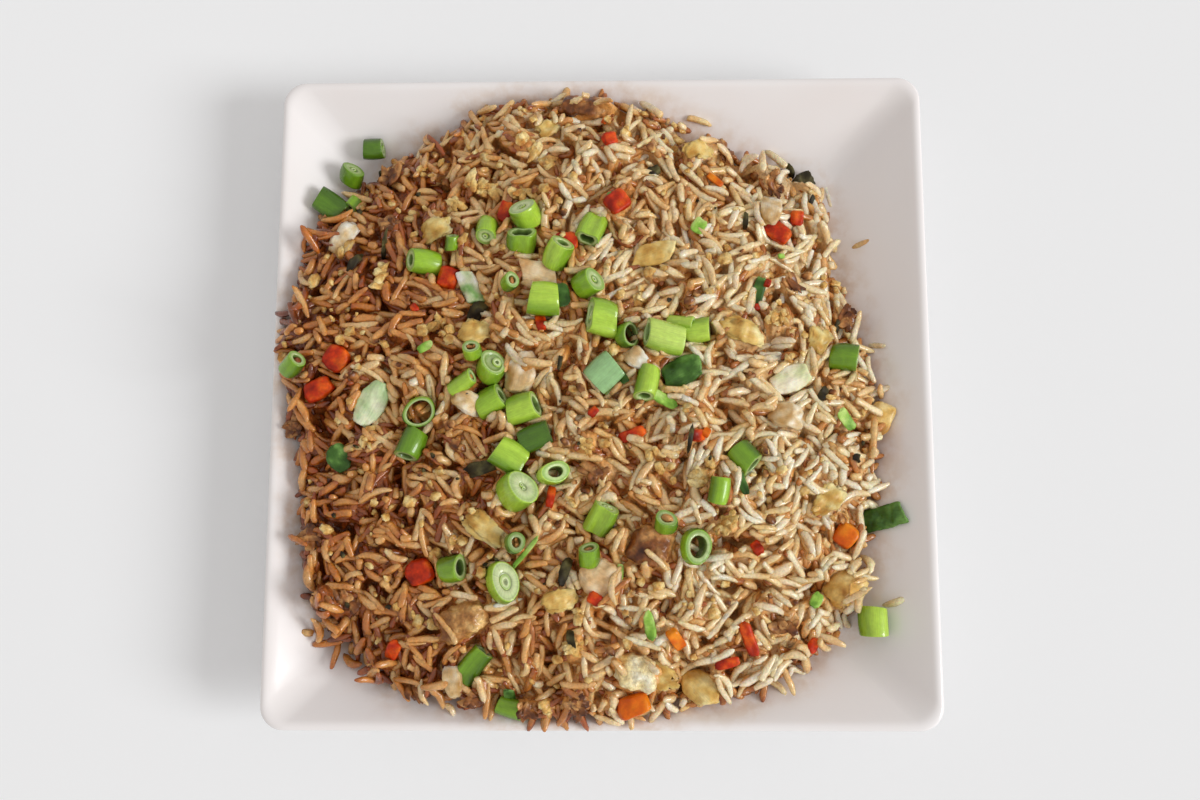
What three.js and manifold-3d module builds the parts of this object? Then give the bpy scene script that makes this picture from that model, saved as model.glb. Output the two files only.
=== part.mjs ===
// A plate of fried rice: a square white plate, one heap of rice, and the larger vegetables,
// egg and meat that lie in and on the heap. Millimetres, +Z up. The origin is under the middle
// of the plate, on the table. +X is to the right of the person eating, and +Y is away from them.
import * as THREE from 'three';
import { mergeVertices } from 'three/addons/utils/BufferGeometryUtils.js';
import Module from 'manifold-3d';

const wasm = await Module();
wasm.setup();

// ---- driving dimensions ------------------------------------------------------------------

const plateSide = 254; // a ten-inch plate
const plateHeight = 25;
const baseThickness = 5;
const footHeight = 2.5;
const footHalf = 80; // half the side of the square foot ring, measured outside
const footWidth = 4;
const wallInset = 33; // from the rim in to where the sloping wall meets the flat base
const lipInset = 4;
const cornerRadius = 9;
const arcSteps = 4; // facets round each plate corner

const gap = 0.3; // clearance between a piece and whatever it lies in or on

const crestHeight = 44; // top of the rice above the table
const edgeThickness = 3; // how thick the rice is at its outline
// Distance from the middle of the plate to the edge of the rice, every 15 degrees from +X.
const outlineRadii = [
  107, 103, 108, 121, 113, 114, 119, 121, 124, 129, 128, 125,
  121, 118, 130, 138, 130, 125, 122, 123, 126, 129, 117, 110,
];
const heapSectors = 42;
const heapRings = 8;

const half = plateSide / 2;
const baseTop = footHeight + baseThickness;
const degrees = Math.PI / 180;

// ---- solids ------------------------------------------------------------------------------

// A closed manifold solid from a three.js geometry.
function solidOf(geometry) {
  const bare = new THREE.BufferGeometry();
  bare.setAttribute('position', geometry.getAttribute('position'));
  if (geometry.index) {
    bare.setIndex(geometry.index);
  }
  const welded = mergeVertices(bare, 1e-4);
  const corners = welded.index.array;
  const kept = [];
  for (let k = 0; k < corners.length; k += 3) {
    const [a, b, c] = [corners[k], corners[k + 1], corners[k + 2]];
    if (a !== b && b !== c && c !== a) {
      kept.push(a, b, c);
    }
  }
  return new wasm.Manifold(new wasm.Mesh({
    numProp: 3,
    vertProperties: Float32Array.from(welded.getAttribute('position').array),
    triVerts: Uint32Array.from(kept),
  }));
}

// A three.js geometry from a manifold solid.
function geometryOf(solid) {
  const mesh = solid.getMesh();
  const geometry = new THREE.BufferGeometry();
  geometry.setAttribute('position', new THREE.BufferAttribute(Float32Array.from(mesh.vertProperties), 3));
  geometry.setIndex(new THREE.BufferAttribute(Uint32Array.from(mesh.triVerts), 1));
  geometry.computeVertexNormals();
  return geometry;
}

// The largest body of a solid, in case a cut leaves a crumb behind.
function largestBody(solid) {
  let largest = null;
  for (const body of solid.decompose()) {
    if (largest === null || body.volume() > largest.volume()) {
      largest = body;
    }
  }
  return largest;
}

// A closed solid through rings that all have the same number of points, with flat ends.
function loft(rings) {
  const count = rings[0].length;
  const positions = [];
  for (const ring of rings) {
    for (const point of ring) {
      positions.push(point.x, point.y, point.z);
    }
  }
  const corners = [];
  for (let row = 0; row + 1 < rings.length; row += 1) {
    for (let k = 0; k < count; k += 1) {
      const next = (k + 1) % count;
      const a = row * count + k;
      const b = row * count + next;
      const c = a + count;
      const d = b + count;
      corners.push(a, b, d, a, d, c);
    }
  }
  const last = (rings.length - 1) * count;
  const bottomMiddle = positions.length / 3;
  positions.push(0, 0, rings[0][0].z);
  const topMiddle = bottomMiddle + 1;
  positions.push(0, 0, rings[rings.length - 1][0].z);
  for (let k = 0; k < count; k += 1) {
    const next = (k + 1) % count;
    corners.push(bottomMiddle, next, k);
    corners.push(topMiddle, last + k, last + next);
  }
  const geometry = new THREE.BufferGeometry();
  geometry.setAttribute('position', new THREE.Float32BufferAttribute(positions, 3));
  geometry.setIndex(corners);
  return geometry;
}

// ---- the plate ---------------------------------------------------------------------------

// One level of the plate: a square with rounded corners, seen from above.
function roundedSquare(halfSide, radius, z) {
  const points = [];
  const centre = halfSide - radius;
  for (let corner = 0; corner < 4; corner += 1) {
    const start = corner * 90 * degrees;
    const across = Math.sign(Math.cos(start + 45 * degrees));
    const up = Math.sign(Math.sin(start + 45 * degrees));
    for (let step = 0; step <= arcSteps; step += 1) {
      const angle = start + (step / arcSteps) * 90 * degrees;
      const x = across * centre + radius * Math.cos(angle);
      const y = up * centre + radius * Math.sin(angle);
      points.push(new THREE.Vector3(x, y, z));
    }
  }
  return points;
}

// Height of the plate's upper face at a distance in from the rim.
function upperFace(inset) {
  if (inset >= wallInset) {
    return baseTop;
  }
  const climb = (wallInset - Math.max(inset, lipInset)) / (wallInset - lipInset);
  return baseTop + (plateHeight - 0.8 - baseTop) * climb ** 1.25;
}

function plateTop(x, y) {
  return upperFace(half - Math.max(Math.abs(x), Math.abs(y)));
}

// Insets at which the sloping wall bends.
const wallInsets = [33, 28, 22, 16, 10, 6.5, lipInset];

function cornerAt(inset) {
  return Math.max(cornerRadius - inset * 0.1, 6);
}

function makePlate() {
  const rings = [];
  const add = (inset, z) => rings.push(roundedSquare(half - inset, cornerAt(inset), z));
  const foot = half - footHalf;
  // The underside, from the middle outwards.
  add(foot + footWidth + 3, footHeight);
  add(foot + footWidth + 0.5, footHeight - 0.4);
  add(foot + footWidth, 0);
  add(foot, 0);
  add(foot - 0.7, footHeight - 0.4);
  add(foot - 4, footHeight);
  for (const inset of wallInsets) {
    const under = upperFace(inset) - baseThickness + 1.2 * (1 - inset / wallInset);
    add(Math.min(inset + 1, wallInset) - 1.8 * (1 - inset / wallInset), under);
  }
  // Round the rim.
  add(0.5, plateHeight - 3.1);
  add(0, plateHeight - 2.1);
  add(0.2, plateHeight - 0.8);
  add(1, plateHeight - 0.15);
  add(2.2, plateHeight);
  add(3.2, plateHeight - 0.3);
  // Down the upper face to the base.
  for (const inset of wallInsets.toReversed()) {
    add(inset, upperFace(inset));
  }
  return loft(rings);
}

// The room inside the plate, clear of its upper face, open upwards.
function makeRoom() {
  const rings = [];
  for (const inset of wallInsets) {
    const halfSide = half - inset - gap;
    rings.push(roundedSquare(halfSide, cornerAt(inset), upperFace(inset) + gap));
  }
  const lip = half - lipInset + 1.5;
  rings.push(roundedSquare(lip, cornerRadius, plateHeight + gap));
  rings.push(roundedSquare(lip, cornerRadius, crestHeight * 2));
  return solidOf(loft(rings));
}

// ---- the rice ----------------------------------------------------------------------------

// A smooth closed curve through the outline's radii.
function outline(angle) {
  const count = outlineRadii.length;
  const place = (((angle / (360 * degrees)) % 1) + 1) % 1 * count;
  const k = Math.floor(place);
  const f = place - k;
  const at = (n) => outlineRadii[(n + count) % count];
  const slopeHere = (at(k + 1) - at(k - 1)) / 2;
  const slopeNext = (at(k + 2) - at(k)) / 2;
  const here = (1 + 2 * f) * (1 - f) ** 2 * at(k) + f * (1 - f) ** 2 * slopeHere;
  const next = f ** 2 * (3 - 2 * f) * at(k + 1) + f ** 2 * (f - 1) * slopeNext;
  return here + next + 0.9 * Math.sin(11 * angle) + 0.6 * Math.sin(17 * angle + 1);
}

// Height of the heap's surface: a low dome with uneven swells.
function riceTop(x, y) {
  const angle = Math.atan2(y, x);
  const reach = outline(angle);
  const t = Math.min(Math.hypot(x, y) / reach, 1);
  const edge = plateTop(reach * Math.cos(angle), reach * Math.sin(angle)) + edgeThickness;
  const dome = (1 - t ** 2.4) ** 0.8;
  const swell = 1.3 * Math.sin(x / 13 + 1) * Math.cos(y / 15) + 0.9 * Math.sin((x - 2 * y) / 17);
  return edge + (crestHeight - 1.5 - edge) * dome + swell * Math.min(1, 3 * (1 - t));
}

function makeHeap() {
  const rings = [];
  const floor = [];
  for (let k = 0; k < heapSectors; k += 1) {
    const angle = (k / heapSectors) * 360 * degrees;
    floor.push(new THREE.Vector3(Math.cos(angle) * outline(angle), Math.sin(angle) * outline(angle), 1));
  }
  rings.push(floor);
  for (let row = heapRings; row >= 1; row -= 1) {
    const t = Math.sin((row / heapRings) * 90 * degrees) ** 0.75;
    rings.push(floor.map((point) => {
      const x = point.x * t;
      const y = point.y * t;
      return new THREE.Vector3(x, y, riceTop(x, y));
    }));
  }
  const geometry = loft(rings);
  const position = geometry.getAttribute('position');
  position.setZ(position.count - 1, riceTop(0, 0));
  return solidOf(geometry);
}

// ---- shapes of the pieces in the rice ----------------------------------------------------
// Each lies along its own X axis, with its width along Y and its height along Z. With extra
// clearance the same function gives the hollow that the piece presses into the rice.

// A length cut from a spring onion: a tube, often squashed oval, with one or two bores.
function stalk(piece, extra) {
  const [width, height] = piece.across;
  const round = new THREE.Shape();
  round.absellipse(0, 0, width / 2 + extra, height / 2 + extra, 0, 2 * Math.PI);
  if (extra === 0) {
    const bores = piece.bores ?? 1;
    for (let k = 0; k < bores; k += 1) {
      const bore = new THREE.Path();
      const reach = (width / 2 - piece.wall) / bores;
      const centre = bores === 1 ? 0 : (k - 0.5) * width * 0.42;
      bore.absellipse(centre, 0, reach, Math.min(height / 2 - piece.wall, reach * 1.3), 0, 2 * Math.PI, true);
      round.holes.push(bore);
    }
  }
  const length = piece.length + 2 * extra;
  const geometry = new THREE.ExtrudeGeometry(round, { depth: length, bevelEnabled: false, curveSegments: 5 });
  geometry.translate(0, 0, -length / 2);
  geometry.rotateZ(90 * degrees);
  geometry.rotateY(90 * degrees);
  return geometry;
}

// A flat or gently curled scrap of leaf: a four-sided sheet with a real thickness.
function blade(piece, extra) {
  const [width, height] = piece.across;
  const skew = piece.skew ?? 0;
  const taper = piece.taper ?? 0;
  const curl = piece.curl ?? 0.12;
  const length = piece.length;
  const geometry = new THREE.BoxGeometry(1, 1, 1, 4, 3, 1);
  const position = geometry.getAttribute('position');
  for (let k = 0; k < position.count; k += 1) {
    const u = position.getX(k);
    const v = position.getY(k);
    const side = Math.sign(position.getZ(k));
    const across = v * (width * (1 - taper * Math.abs(2 * u) ** 1.5) + 2 * extra);
    const along = u * (length + 2 * extra) + skew * v * width;
    const rise = -curl * width * (4 * v * v - 0.5) + curl * length * 0.5 * u * u;
    position.setXYZ(k, along, across, rise + side * (height / 2 + extra));
  }
  return geometry;
}

// A cut cube or a lump: a rounded block, more or less uneven.
function lump(piece, extra) {
  const [width, height] = piece.across;
  const square = piece.square ?? 0.75;
  const uneven = piece.uneven ?? 0.08;
  const large = piece.length > 15;
  const geometry = new THREE.SphereGeometry(1, large ? 10 : 8, large ? 7 : 6);
  const position = geometry.getAttribute('position');
  const soften = (value) => Math.sign(value) * Math.abs(value) ** square;
  for (let k = 0; k < position.count; k += 1) {
    const x = position.getX(k);
    const y = position.getY(k);
    const z = position.getZ(k);
    const bump = 1 + uneven * (Math.sin(5 * x + 3 * y + piece.length) + Math.sin(4 * z - 5 * y));
    position.setXYZ(
      k,
      soften(x) * bump * (piece.length / 2 + extra),
      soften(y) * bump * (width / 2 + extra),
      soften(z) * bump * (height / 2 + extra),
    );
  }
  return geometry;
}

// ---- what lies in and on the rice --------------------------------------------------------
// at: where its middle is in plan. along: the plan direction of its raised end, in degrees.
// rise: how steeply that end points up. lift: its middle above the rice, or above the plate
// for pieces that lie on the plate's wall.

const onion = { shape: stalk, look: 'spring_onion' };
const darkLeaf = { shape: blade, look: 'onion_leaf' };
const pepper = { shape: lump, look: 'red_pepper', square: 0.55, uneven: 0.05 };
const carrot = { shape: lump, look: 'carrot', square: 0.5, uneven: 0.04 };
const cabbage = { shape: blade, look: 'cabbage' };
const whiteOnion = { shape: lump, look: 'white_onion' };
const egg = { shape: lump, look: 'egg', uneven: 0.12 };
const meat = { shape: lump, look: 'meat', uneven: 0.12 };

const springOnions = [
  { at: [-92, 102], length: 8, across: [7.8, 7.8], wall: 1.7, along: 2, rise: 0, onPlate: true },
  { at: [-100, 90], length: 7, across: [9, 8], wall: 2.6, along: 60, rise: 48, onPlate: true },
  { at: [-108, 77], length: 12, across: [10, 7], wall: 1.6, along: 145, rise: 12, onPlate: true },
  { at: [-43, 61], length: 8.5, across: [8, 7.8], wall: 2.4, along: -95, rise: 35 },
  { at: [-28, 66], length: 8.5, across: [10.4, 9.6], wall: 3.4, along: 125, rise: 55, lift: 4 },
  { at: [-29.5, 56], length: 7, across: [10.5, 9], wall: 1.5, along: 80, rise: 40 },
  { at: [-3, 60], length: 11, across: [9.8, 9], wall: 2, along: -110, rise: 30 },
  { at: [-15.5, 50], length: 10, across: [9.8, 9.4], wall: 2.6, along: 60, rise: 38, lift: 4 },
  { at: [-67, 49], length: 11.5, across: [8.8, 8.4], wall: 2.3, along: 175, rise: 26 },
  { at: [-20.5, 32], length: 11, across: [11.8, 10.5], wall: 2.2, along: 178, rise: 12, lift: 3.5 },
  { at: [-4.5, 38], length: 9, across: [9.6, 9.2], wall: 3, along: 20, rise: 42 },
  { at: [1.5, 24.5], length: 10.5, across: [13.5, 9], wall: 2.4, along: 168, rise: 22, lift: 4 },
  { at: [10.5, 18], length: 5, across: [9.6, 9], wall: 1.2, along: 10, rise: 48 },
  { at: [24.5, 17], length: 14, across: [10.6, 10], wall: 2, along: 166, rise: 10, lift: 4.5 },
  { at: [37, 20.5], length: 9, across: [8.6, 8.2], wall: 2, along: 5, rise: 8 },
  { at: [2.5, 3.5], length: 11, across: [12.5, 6.5], wall: 1.6, along: 42, rise: 6 },
  { at: [18, 0], length: 11.5, across: [8.2, 7.6], wall: 1.8, along: -102, rise: 12 },
  { at: [-40, 6], length: 8, across: [10.6, 10.2], wall: 1.6, along: 50, rise: 60, lift: 4 },
  { at: [-40.5, -6], length: 10.5, across: [9.6, 9], wall: 2.6, along: 25, rise: 22 },
  { at: [-28.5, -9], length: 11.5, across: [10, 9.4], wall: 2, along: 15, rise: 14 },
  { at: [-67, -10], length: 5, across: [12.6, 10.6], wall: 1.3, along: -60, rise: 74 },
  { at: [-70, -21.5], length: 11, across: [9.6, 8.6], wall: 1.8, along: -112, rise: 10 },
  { at: [-23.5, -20], length: 12, across: [9, 5.5], wall: 1.5, along: 22, rise: 6 },
  { at: [-33, -27], length: 11.5, across: [10.6, 9.6], wall: 2.4, along: 150, rise: 18 },
  { at: [-30, -40], length: 10, across: [13.4, 11], wall: 2, bores: 2, along: 25, rise: 52, lift: 3.5 },
  { at: [-16.5, -33.5], length: 5, across: [8, 12], wall: 1.8, along: 20, rise: 66 },
  { at: [1, -50], length: 11.5, across: [10, 8.4], wall: 2.4, along: 60, rise: 32 },
  { at: [35, -60], length: 5.5, across: [12.6, 11], wall: 2.2, along: -10, rise: 62 },
  { at: [-54.5, -68], length: 9, across: [9.2, 8.8], wall: 1.8, along: 8, rise: 36 },
  { at: [-35.5, -73], length: 8, across: [15, 10.6], wall: 3, along: 8, rise: 64 },
  { at: [-47, -103], length: 14, across: [8.4, 6.6], wall: 1.5, along: 52, rise: 8 },
  { at: [-33, -118.5], length: 9.5, across: [7, 6.6], wall: 1.6, along: -18, rise: 0, onPlate: true },
  { at: [54, -27], length: 9, across: [9.6, 8.2], wall: 1.8, along: -50, rise: 8 },
  { at: [94, 13], length: 10, across: [9.8, 9], wall: 2.2, along: -5, rise: 10 },
  { at: [103, -87], length: 10.5, across: [11, 10.4], wall: 2.4, along: -88, rise: 0, onPlate: true },
];

const leaves = [
  { ...darkLeaf, at: [31, 5], length: 15, across: [11, 1.9], along: 22, rise: 5, skew: 0.15, taper: 0.25 },
  { ...darkLeaf, at: [108.5, -47.5], length: 17, across: [9, 1.8], along: 12, rise: 0, skew: -0.2, onPlate: true, slope: true },
  { ...cabbage, at: [-86, -6], length: 18, across: [12, 2.2], along: 62, rise: 4, taper: 0.55 },
  { ...cabbage, at: [-49, 38.5], length: 13, across: [7.6, 2.2], along: -68, rise: 0, taper: 0.15, skew: 0.3 },
  { ...cabbage, at: [72, 3], length: 15, across: [10.5, 3], along: 24, rise: 6, taper: 0.4 },
  { ...cabbage, at: [37, -111], length: 14, across: [12.5, 3.4], along: -62, rise: 8, taper: 0.45, skew: 0.2 },
  { ...cabbage, at: [-23, 43], length: 13.5, across: [9, 3], along: -8, rise: -4, skew: -0.35, lift: 1 },
  { ...cabbage, at: [21, 51], length: 15, across: [9, 2.6], along: 8, rise: 4, taper: 0.2, skew: 0.45 },
];

const cubes = [
  { ...pepper, at: [-57.5, 42.5], length: 9.5, across: [8.4, 6], along: 70, rise: 0, lift: 0.5 },
  { ...pepper, at: [-100, 11.5], length: 10.5, across: [10, 5.5], along: 48, rise: 8 },
  { ...pepper, at: [-107, 0.5], length: 12.5, across: [8, 5], along: 28, rise: 6 },
  { ...pepper, at: [-67, -69], length: 11, across: [9.6, 6], along: 20, rise: 6 },
  { ...pepper, at: [69, 62], length: 12, across: [7.6, 5], along: -40, rise: 10 },
  { ...carrot, at: [93, -55], length: 9.5, across: [8.8, 6], along: 52, rise: 10 },
  { ...carrot, at: [12.5, -117.5], length: 13, across: [8.4, 6.5], along: 20, rise: 4 },
];

const chunks = [
  { ...whiteOnion, at: [-29, 4.5], length: 17, across: [11.5, 8], along: 76, rise: 4 },
  { ...egg, look: 'browned_cabbage', at: [92.5, -75.5], length: 16, across: [13.5, 7.5], along: 35, rise: 6 },
  { ...egg, look: 'browned_cabbage', at: [108.5, -9], length: 13, across: [11, 6.5], along: 60, rise: 6 },
  { ...egg, at: [-50, -87], length: 20, across: [13, 9], along: 28, rise: 4 },
  { ...egg, at: [13, -105.5], length: 17, across: [12.5, 8], along: -28, rise: 6 },
  { ...cabbage, shape: lump, at: [0.5, -71], length: 17.5, across: [13.5, 7], along: 150, rise: 4 },
  { ...meat, at: [18.5, -61], length: 16.5, across: [14.5, 9.5], along: 40, rise: 8 },
  { ...meat, at: [-6, 113.5], length: 21, across: [9, 7.5], along: -4, rise: 4 },
];

// ---- assembly ----------------------------------------------------------------------------

const looks = {
  porcelain: { color: '#e9e7e4', roughness: 0.18 },
  rice: { color: '#a87a4a', roughness: 0.55 },
  spring_onion: { color: '#7fb52c', roughness: 0.35 },
  onion_leaf: { color: '#3c6426', roughness: 0.4 },
  cabbage: { color: '#dccf9c', roughness: 0.4 },
  white_onion: { color: '#c3a07a', roughness: 0.35 },
  browned_cabbage: { color: '#c4964e', roughness: 0.45 },
  egg: { color: '#cf9f52', roughness: 0.5 },
  meat: { color: '#85542c', roughness: 0.5 },
  red_pepper: { color: '#a8240f', roughness: 0.3 },
  carrot: { color: '#d97714', roughness: 0.35 },
};

function materialFor(look) {
  return new THREE.MeshStandardMaterial({ ...looks[look], metalness: 0 });
}

// Where a piece's middle comes to lie, and how it is turned.
function settle(piece) {
  const [x, y] = piece.at;
  const height = piece.across[1];
  const holder = new THREE.Object3D();
  holder.rotation.order = 'ZYX';
  holder.rotation.set(0, -piece.rise * degrees, piece.along * degrees);
  if (piece.onPlate) {
    const tallness = Math.abs(Math.sin(piece.rise * degrees)) * piece.length + height;
    const climb = (plateTop(x + 1, y) - plateTop(x - 1, y)) / 2;
    const climbAway = (plateTop(x, y + 1) - plateTop(x, y - 1)) / 2;
    const steepness = Math.hypot(1, climb, climbAway);
    const clear = (tallness / 2) * steepness + gap + 0.4;
    holder.position.set(x, y, plateTop(x, y) + clear);
    if (piece.slope) {
      const tilt = new THREE.Vector3(-climb, -climbAway, 1).normalize();
      const upright = new THREE.Quaternion().setFromUnitVectors(new THREE.Vector3(0, 0, 1), tilt);
      holder.quaternion.premultiply(upright);
    }
  } else {
    const lift = piece.lift ?? height * 0.28;
    holder.position.set(x, y, riceTop(x, y) + lift);
  }
  holder.updateMatrix();
  return holder;
}

function makePieces(prefix, list) {
  return list.map((piece, index) => {
    const name = `${prefix}_${String(index + 1).padStart(2, '0')}`;
    const holder = settle(piece);
    const turn = holder.matrix.toArray();
    return {
      name: piece.name ?? name,
      look: piece.look,
      holder,
      turn,
      solid: solidOf(piece.shape(piece, 0)).transform(turn),
      hollow: solidOf(piece.shape(piece, gap)).transform(turn),
    };
  });
}

const pieces = [
  ...makePieces('spring_onion', springOnions.map((piece) => ({ ...onion, ...piece }))),
  ...makePieces('leaf', leaves),
  ...makePieces('cube', cubes),
  ...makePieces('chunk', chunks),
];

const room = makeRoom();
let heap = makeHeap().intersect(room);
for (const piece of pieces) {
  heap = heap.subtract(piece.hollow);
}

// Pieces that lean on each other: the higher one keeps its form and the lower gives way.
const byHeight = pieces.toSorted((a, b) => b.holder.position.z - a.holder.position.z);
for (let k = 0; k < byHeight.length; k += 1) {
  const piece = byHeight[k];
  piece.solid = piece.solid.intersect(room);
  for (const above of byHeight.slice(0, k)) {
    const apart = above.holder.position.distanceTo(piece.holder.position);
    if (apart < 30) {
      piece.solid = piece.solid.subtract(above.hollow);
    }
  }
  piece.solid = largestBody(piece.solid);
}

const dish = new THREE.Group();

const plate = new THREE.Mesh(geometryOf(solidOf(makePlate())), materialFor('porcelain'));
plate.name = 'plate';
dish.add(plate);

const food = new THREE.Group();
dish.add(food);

const rice = new THREE.Mesh(geometryOf(largestBody(heap)), materialFor('rice'));
rice.name = 'rice_heap';
food.add(rice);

for (const piece of pieces) {
  const back = new THREE.Matrix4().fromArray(piece.turn).invert().toArray();
  const mesh = new THREE.Mesh(geometryOf(piece.solid.transform(back)), materialFor(piece.look));
  mesh.name = piece.name;
  mesh.position.copy(piece.holder.position);
  mesh.quaternion.copy(piece.holder.quaternion);
  food.add(mesh);
}

export default dish;
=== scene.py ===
"""Looks for a plate of fried rice: loose grains, spring onion, vegetables, egg and meat on white porcelain.

Lengths are in millimetres, in the frame of the CAD part, until a mesh is made of them.
"""

import math

import bpy
import numpy as np
from mathutils import Matrix, Vector, noise
from mathutils.bvhtree import BVHTree


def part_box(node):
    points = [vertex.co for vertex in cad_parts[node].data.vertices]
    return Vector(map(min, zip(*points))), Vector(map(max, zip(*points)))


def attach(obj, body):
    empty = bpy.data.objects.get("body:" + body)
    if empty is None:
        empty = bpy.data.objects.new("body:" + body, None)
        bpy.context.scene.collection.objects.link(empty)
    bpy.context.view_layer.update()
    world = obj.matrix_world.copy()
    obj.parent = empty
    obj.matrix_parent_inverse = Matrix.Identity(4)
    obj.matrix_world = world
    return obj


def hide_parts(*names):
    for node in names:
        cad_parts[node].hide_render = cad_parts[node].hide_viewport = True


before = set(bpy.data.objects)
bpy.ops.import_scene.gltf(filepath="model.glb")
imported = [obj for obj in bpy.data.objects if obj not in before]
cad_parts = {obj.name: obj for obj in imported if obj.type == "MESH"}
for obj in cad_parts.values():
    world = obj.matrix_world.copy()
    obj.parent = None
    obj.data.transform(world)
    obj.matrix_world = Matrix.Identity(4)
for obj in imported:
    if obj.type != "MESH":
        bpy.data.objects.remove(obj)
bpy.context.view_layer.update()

MM = 0.001
rng = np.random.default_rng(24)

# ---- sizes ---------------------------------------------------------------------------------

PLATE_HALF, _, PLATE_HEIGHT = np.array(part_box("plate")[1]) / MM
BASE_THICKNESS = 5.0
FOOT_HEIGHT = 2.5
FOOT_HALF = 80.0
FOOT_WIDTH = 4.0
WALL_INSET = 33.0
LIP_INSET = 4.0
CORNER_RADIUS = 9.0
BASE_TOP = FOOT_HEIGHT + BASE_THICKNESS

CELL = 0.8  # spacing of the height maps
REACH = 134.0  # half the side of the height maps
GRAIN_LENGTH, LENGTH_SPREAD, LENGTH_LIMITS = 11.0, 2.3, (6.5, 17.5)
GRAIN_WIDTH, WIDTH_SPREAD, WIDTH_LIMITS = 2.88, 0.35, (2.2, 3.9)
FIRST_GRAINS, LAST_GRAINS = 4320, 2880  # at most, before and after the small toppings; some 5,100 fit
BROKEN_SHARE = 0.06
TILTED_SHARE = 0.35
STRAIGHT_SHARE = 0.65
TURN_SPREAD = 0.85  # in radians, about the drift that neighbouring grains share
STEEPEST = 0.9  # the steepest slope on which a piece rests
CURVED_BEND = 0.09  # grains that bend by more than this share of their length are a piece of their own
GRAIN_BED = 5.0  # how deep the loose grains lie over the core
HEADROOM = 5.0  # how far grains may rise over the heap's surface
LOOSE_HEADROOM = 4.5  # the same for grains that lie on the bare plate
OPEN = 99.0  # a height that nothing reaches
FRINGE_TRIES = 120
FRINGE_LIMIT = 116.0  # how far out the grains of the fringe may lie

STALKS = sorted(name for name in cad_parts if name.startswith("spring_onion"))
LEAVES = sorted(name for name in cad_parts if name.startswith("leaf"))
CUBES = sorted(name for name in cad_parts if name.startswith("cube"))
CHUNKS = sorted(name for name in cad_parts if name.startswith("chunk"))


def colour(red, green, blue):
    """A colour picked as it shows on screen, as the linear values that a shader takes."""
    shown = np.array([red, green, blue]) / 255
    return np.where(shown <= 0.04045, shown / 12.92, ((shown + 0.055) / 1.055) ** 2.4)


# ---- meshes --------------------------------------------------------------------------------


def cad_mesh(name):
    """The vertices, in millimetres, and triangles of a CAD node."""
    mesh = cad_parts[name].data
    places = np.empty(len(mesh.vertices) * 3)
    mesh.vertices.foreach_get("co", places)
    mesh.calc_loop_triangles()
    return places.reshape(-1, 3) / MM, np.array([tuple(t.vertices) for t in mesh.loop_triangles])


def new_piece(name, vertices, faces, material, paint=None, fibre=None):
    """A smooth mesh piece. faces is a list of arrays, each of faces with one number of corners."""
    mesh = bpy.data.meshes.new(name)
    corners = np.concatenate([np.asarray(group).reshape(-1) for group in faces])
    sizes = np.concatenate([np.full(len(group), np.shape(group)[1]) for group in faces])
    mesh.vertices.add(len(vertices))
    mesh.vertices.foreach_set("co", (np.asarray(vertices) * MM).astype(np.float32).ravel())
    mesh.loops.add(len(corners))
    mesh.loops.foreach_set("vertex_index", corners.astype(np.int32))
    mesh.polygons.add(len(sizes))
    mesh.polygons.foreach_set("loop_start", (np.cumsum(sizes) - sizes).astype(np.int32))
    mesh.polygons.foreach_set("loop_total", sizes.astype(np.int32))
    mesh.update(calc_edges=True)
    mesh.validate()
    mesh.polygons.foreach_set("use_smooth", np.ones(len(mesh.polygons), bool))
    if paint is not None:
        store_paint(mesh, paint)
    if fibre is not None:
        store_fibre(mesh, fibre)
    piece = bpy.data.objects.new(name, mesh)
    bpy.context.scene.collection.objects.link(piece)
    piece.data.materials.append(material)
    return piece


def store_paint(mesh, paint):
    """Keeps a linear colour for each vertex."""
    layer = mesh.attributes.new("paint", "FLOAT_COLOR", "POINT")
    full = np.ones((len(mesh.vertices), 4), np.float32)
    full[:, :3] = paint
    layer.data.foreach_set("color", full.ravel())


def store_fibre(mesh, fibre):
    """Keeps the coordinates that fibres and veins follow."""
    layer = mesh.attributes.new("fibre", "FLOAT_VECTOR", "POINT")
    layer.data.foreach_set("vector", np.asarray(fibre, np.float32).ravel())


def noise_at(points, scale, seed=0.0):
    """Smooth noise from -1 to 1 at each point, with features about scale millimetres wide."""
    shifted = np.asarray(points) / scale + seed
    return np.array([noise.noise(Vector(p)) for p in shifted])


def joined(parts):
    """Joins (vertices, faces, paint, fibre) parts, whose faces are all quads, into one."""
    vertices, faces, paint, fibre = zip(*parts)
    starts = np.cumsum([0] + [len(v) for v in vertices[:-1]])
    moved = [np.asarray(f) + start for f, start in zip(faces, starts)]
    return np.concatenate(vertices), np.concatenate(moved), np.concatenate(paint), np.concatenate(fibre)


def ring_quads(rows, columns, closed=True):
    """Quads between the rows of a grid of vertices, whose columns may close on themselves."""
    r, c = np.meshgrid(np.arange(rows - 1), np.arange(columns if closed else columns - 1), indexing="ij")
    here = r * columns + c
    beside = r * columns + (c + 1) % columns
    return np.stack([here, beside, beside + columns, here + columns], -1).reshape(-1, 4)


# ---- materials -----------------------------------------------------------------------------


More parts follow.
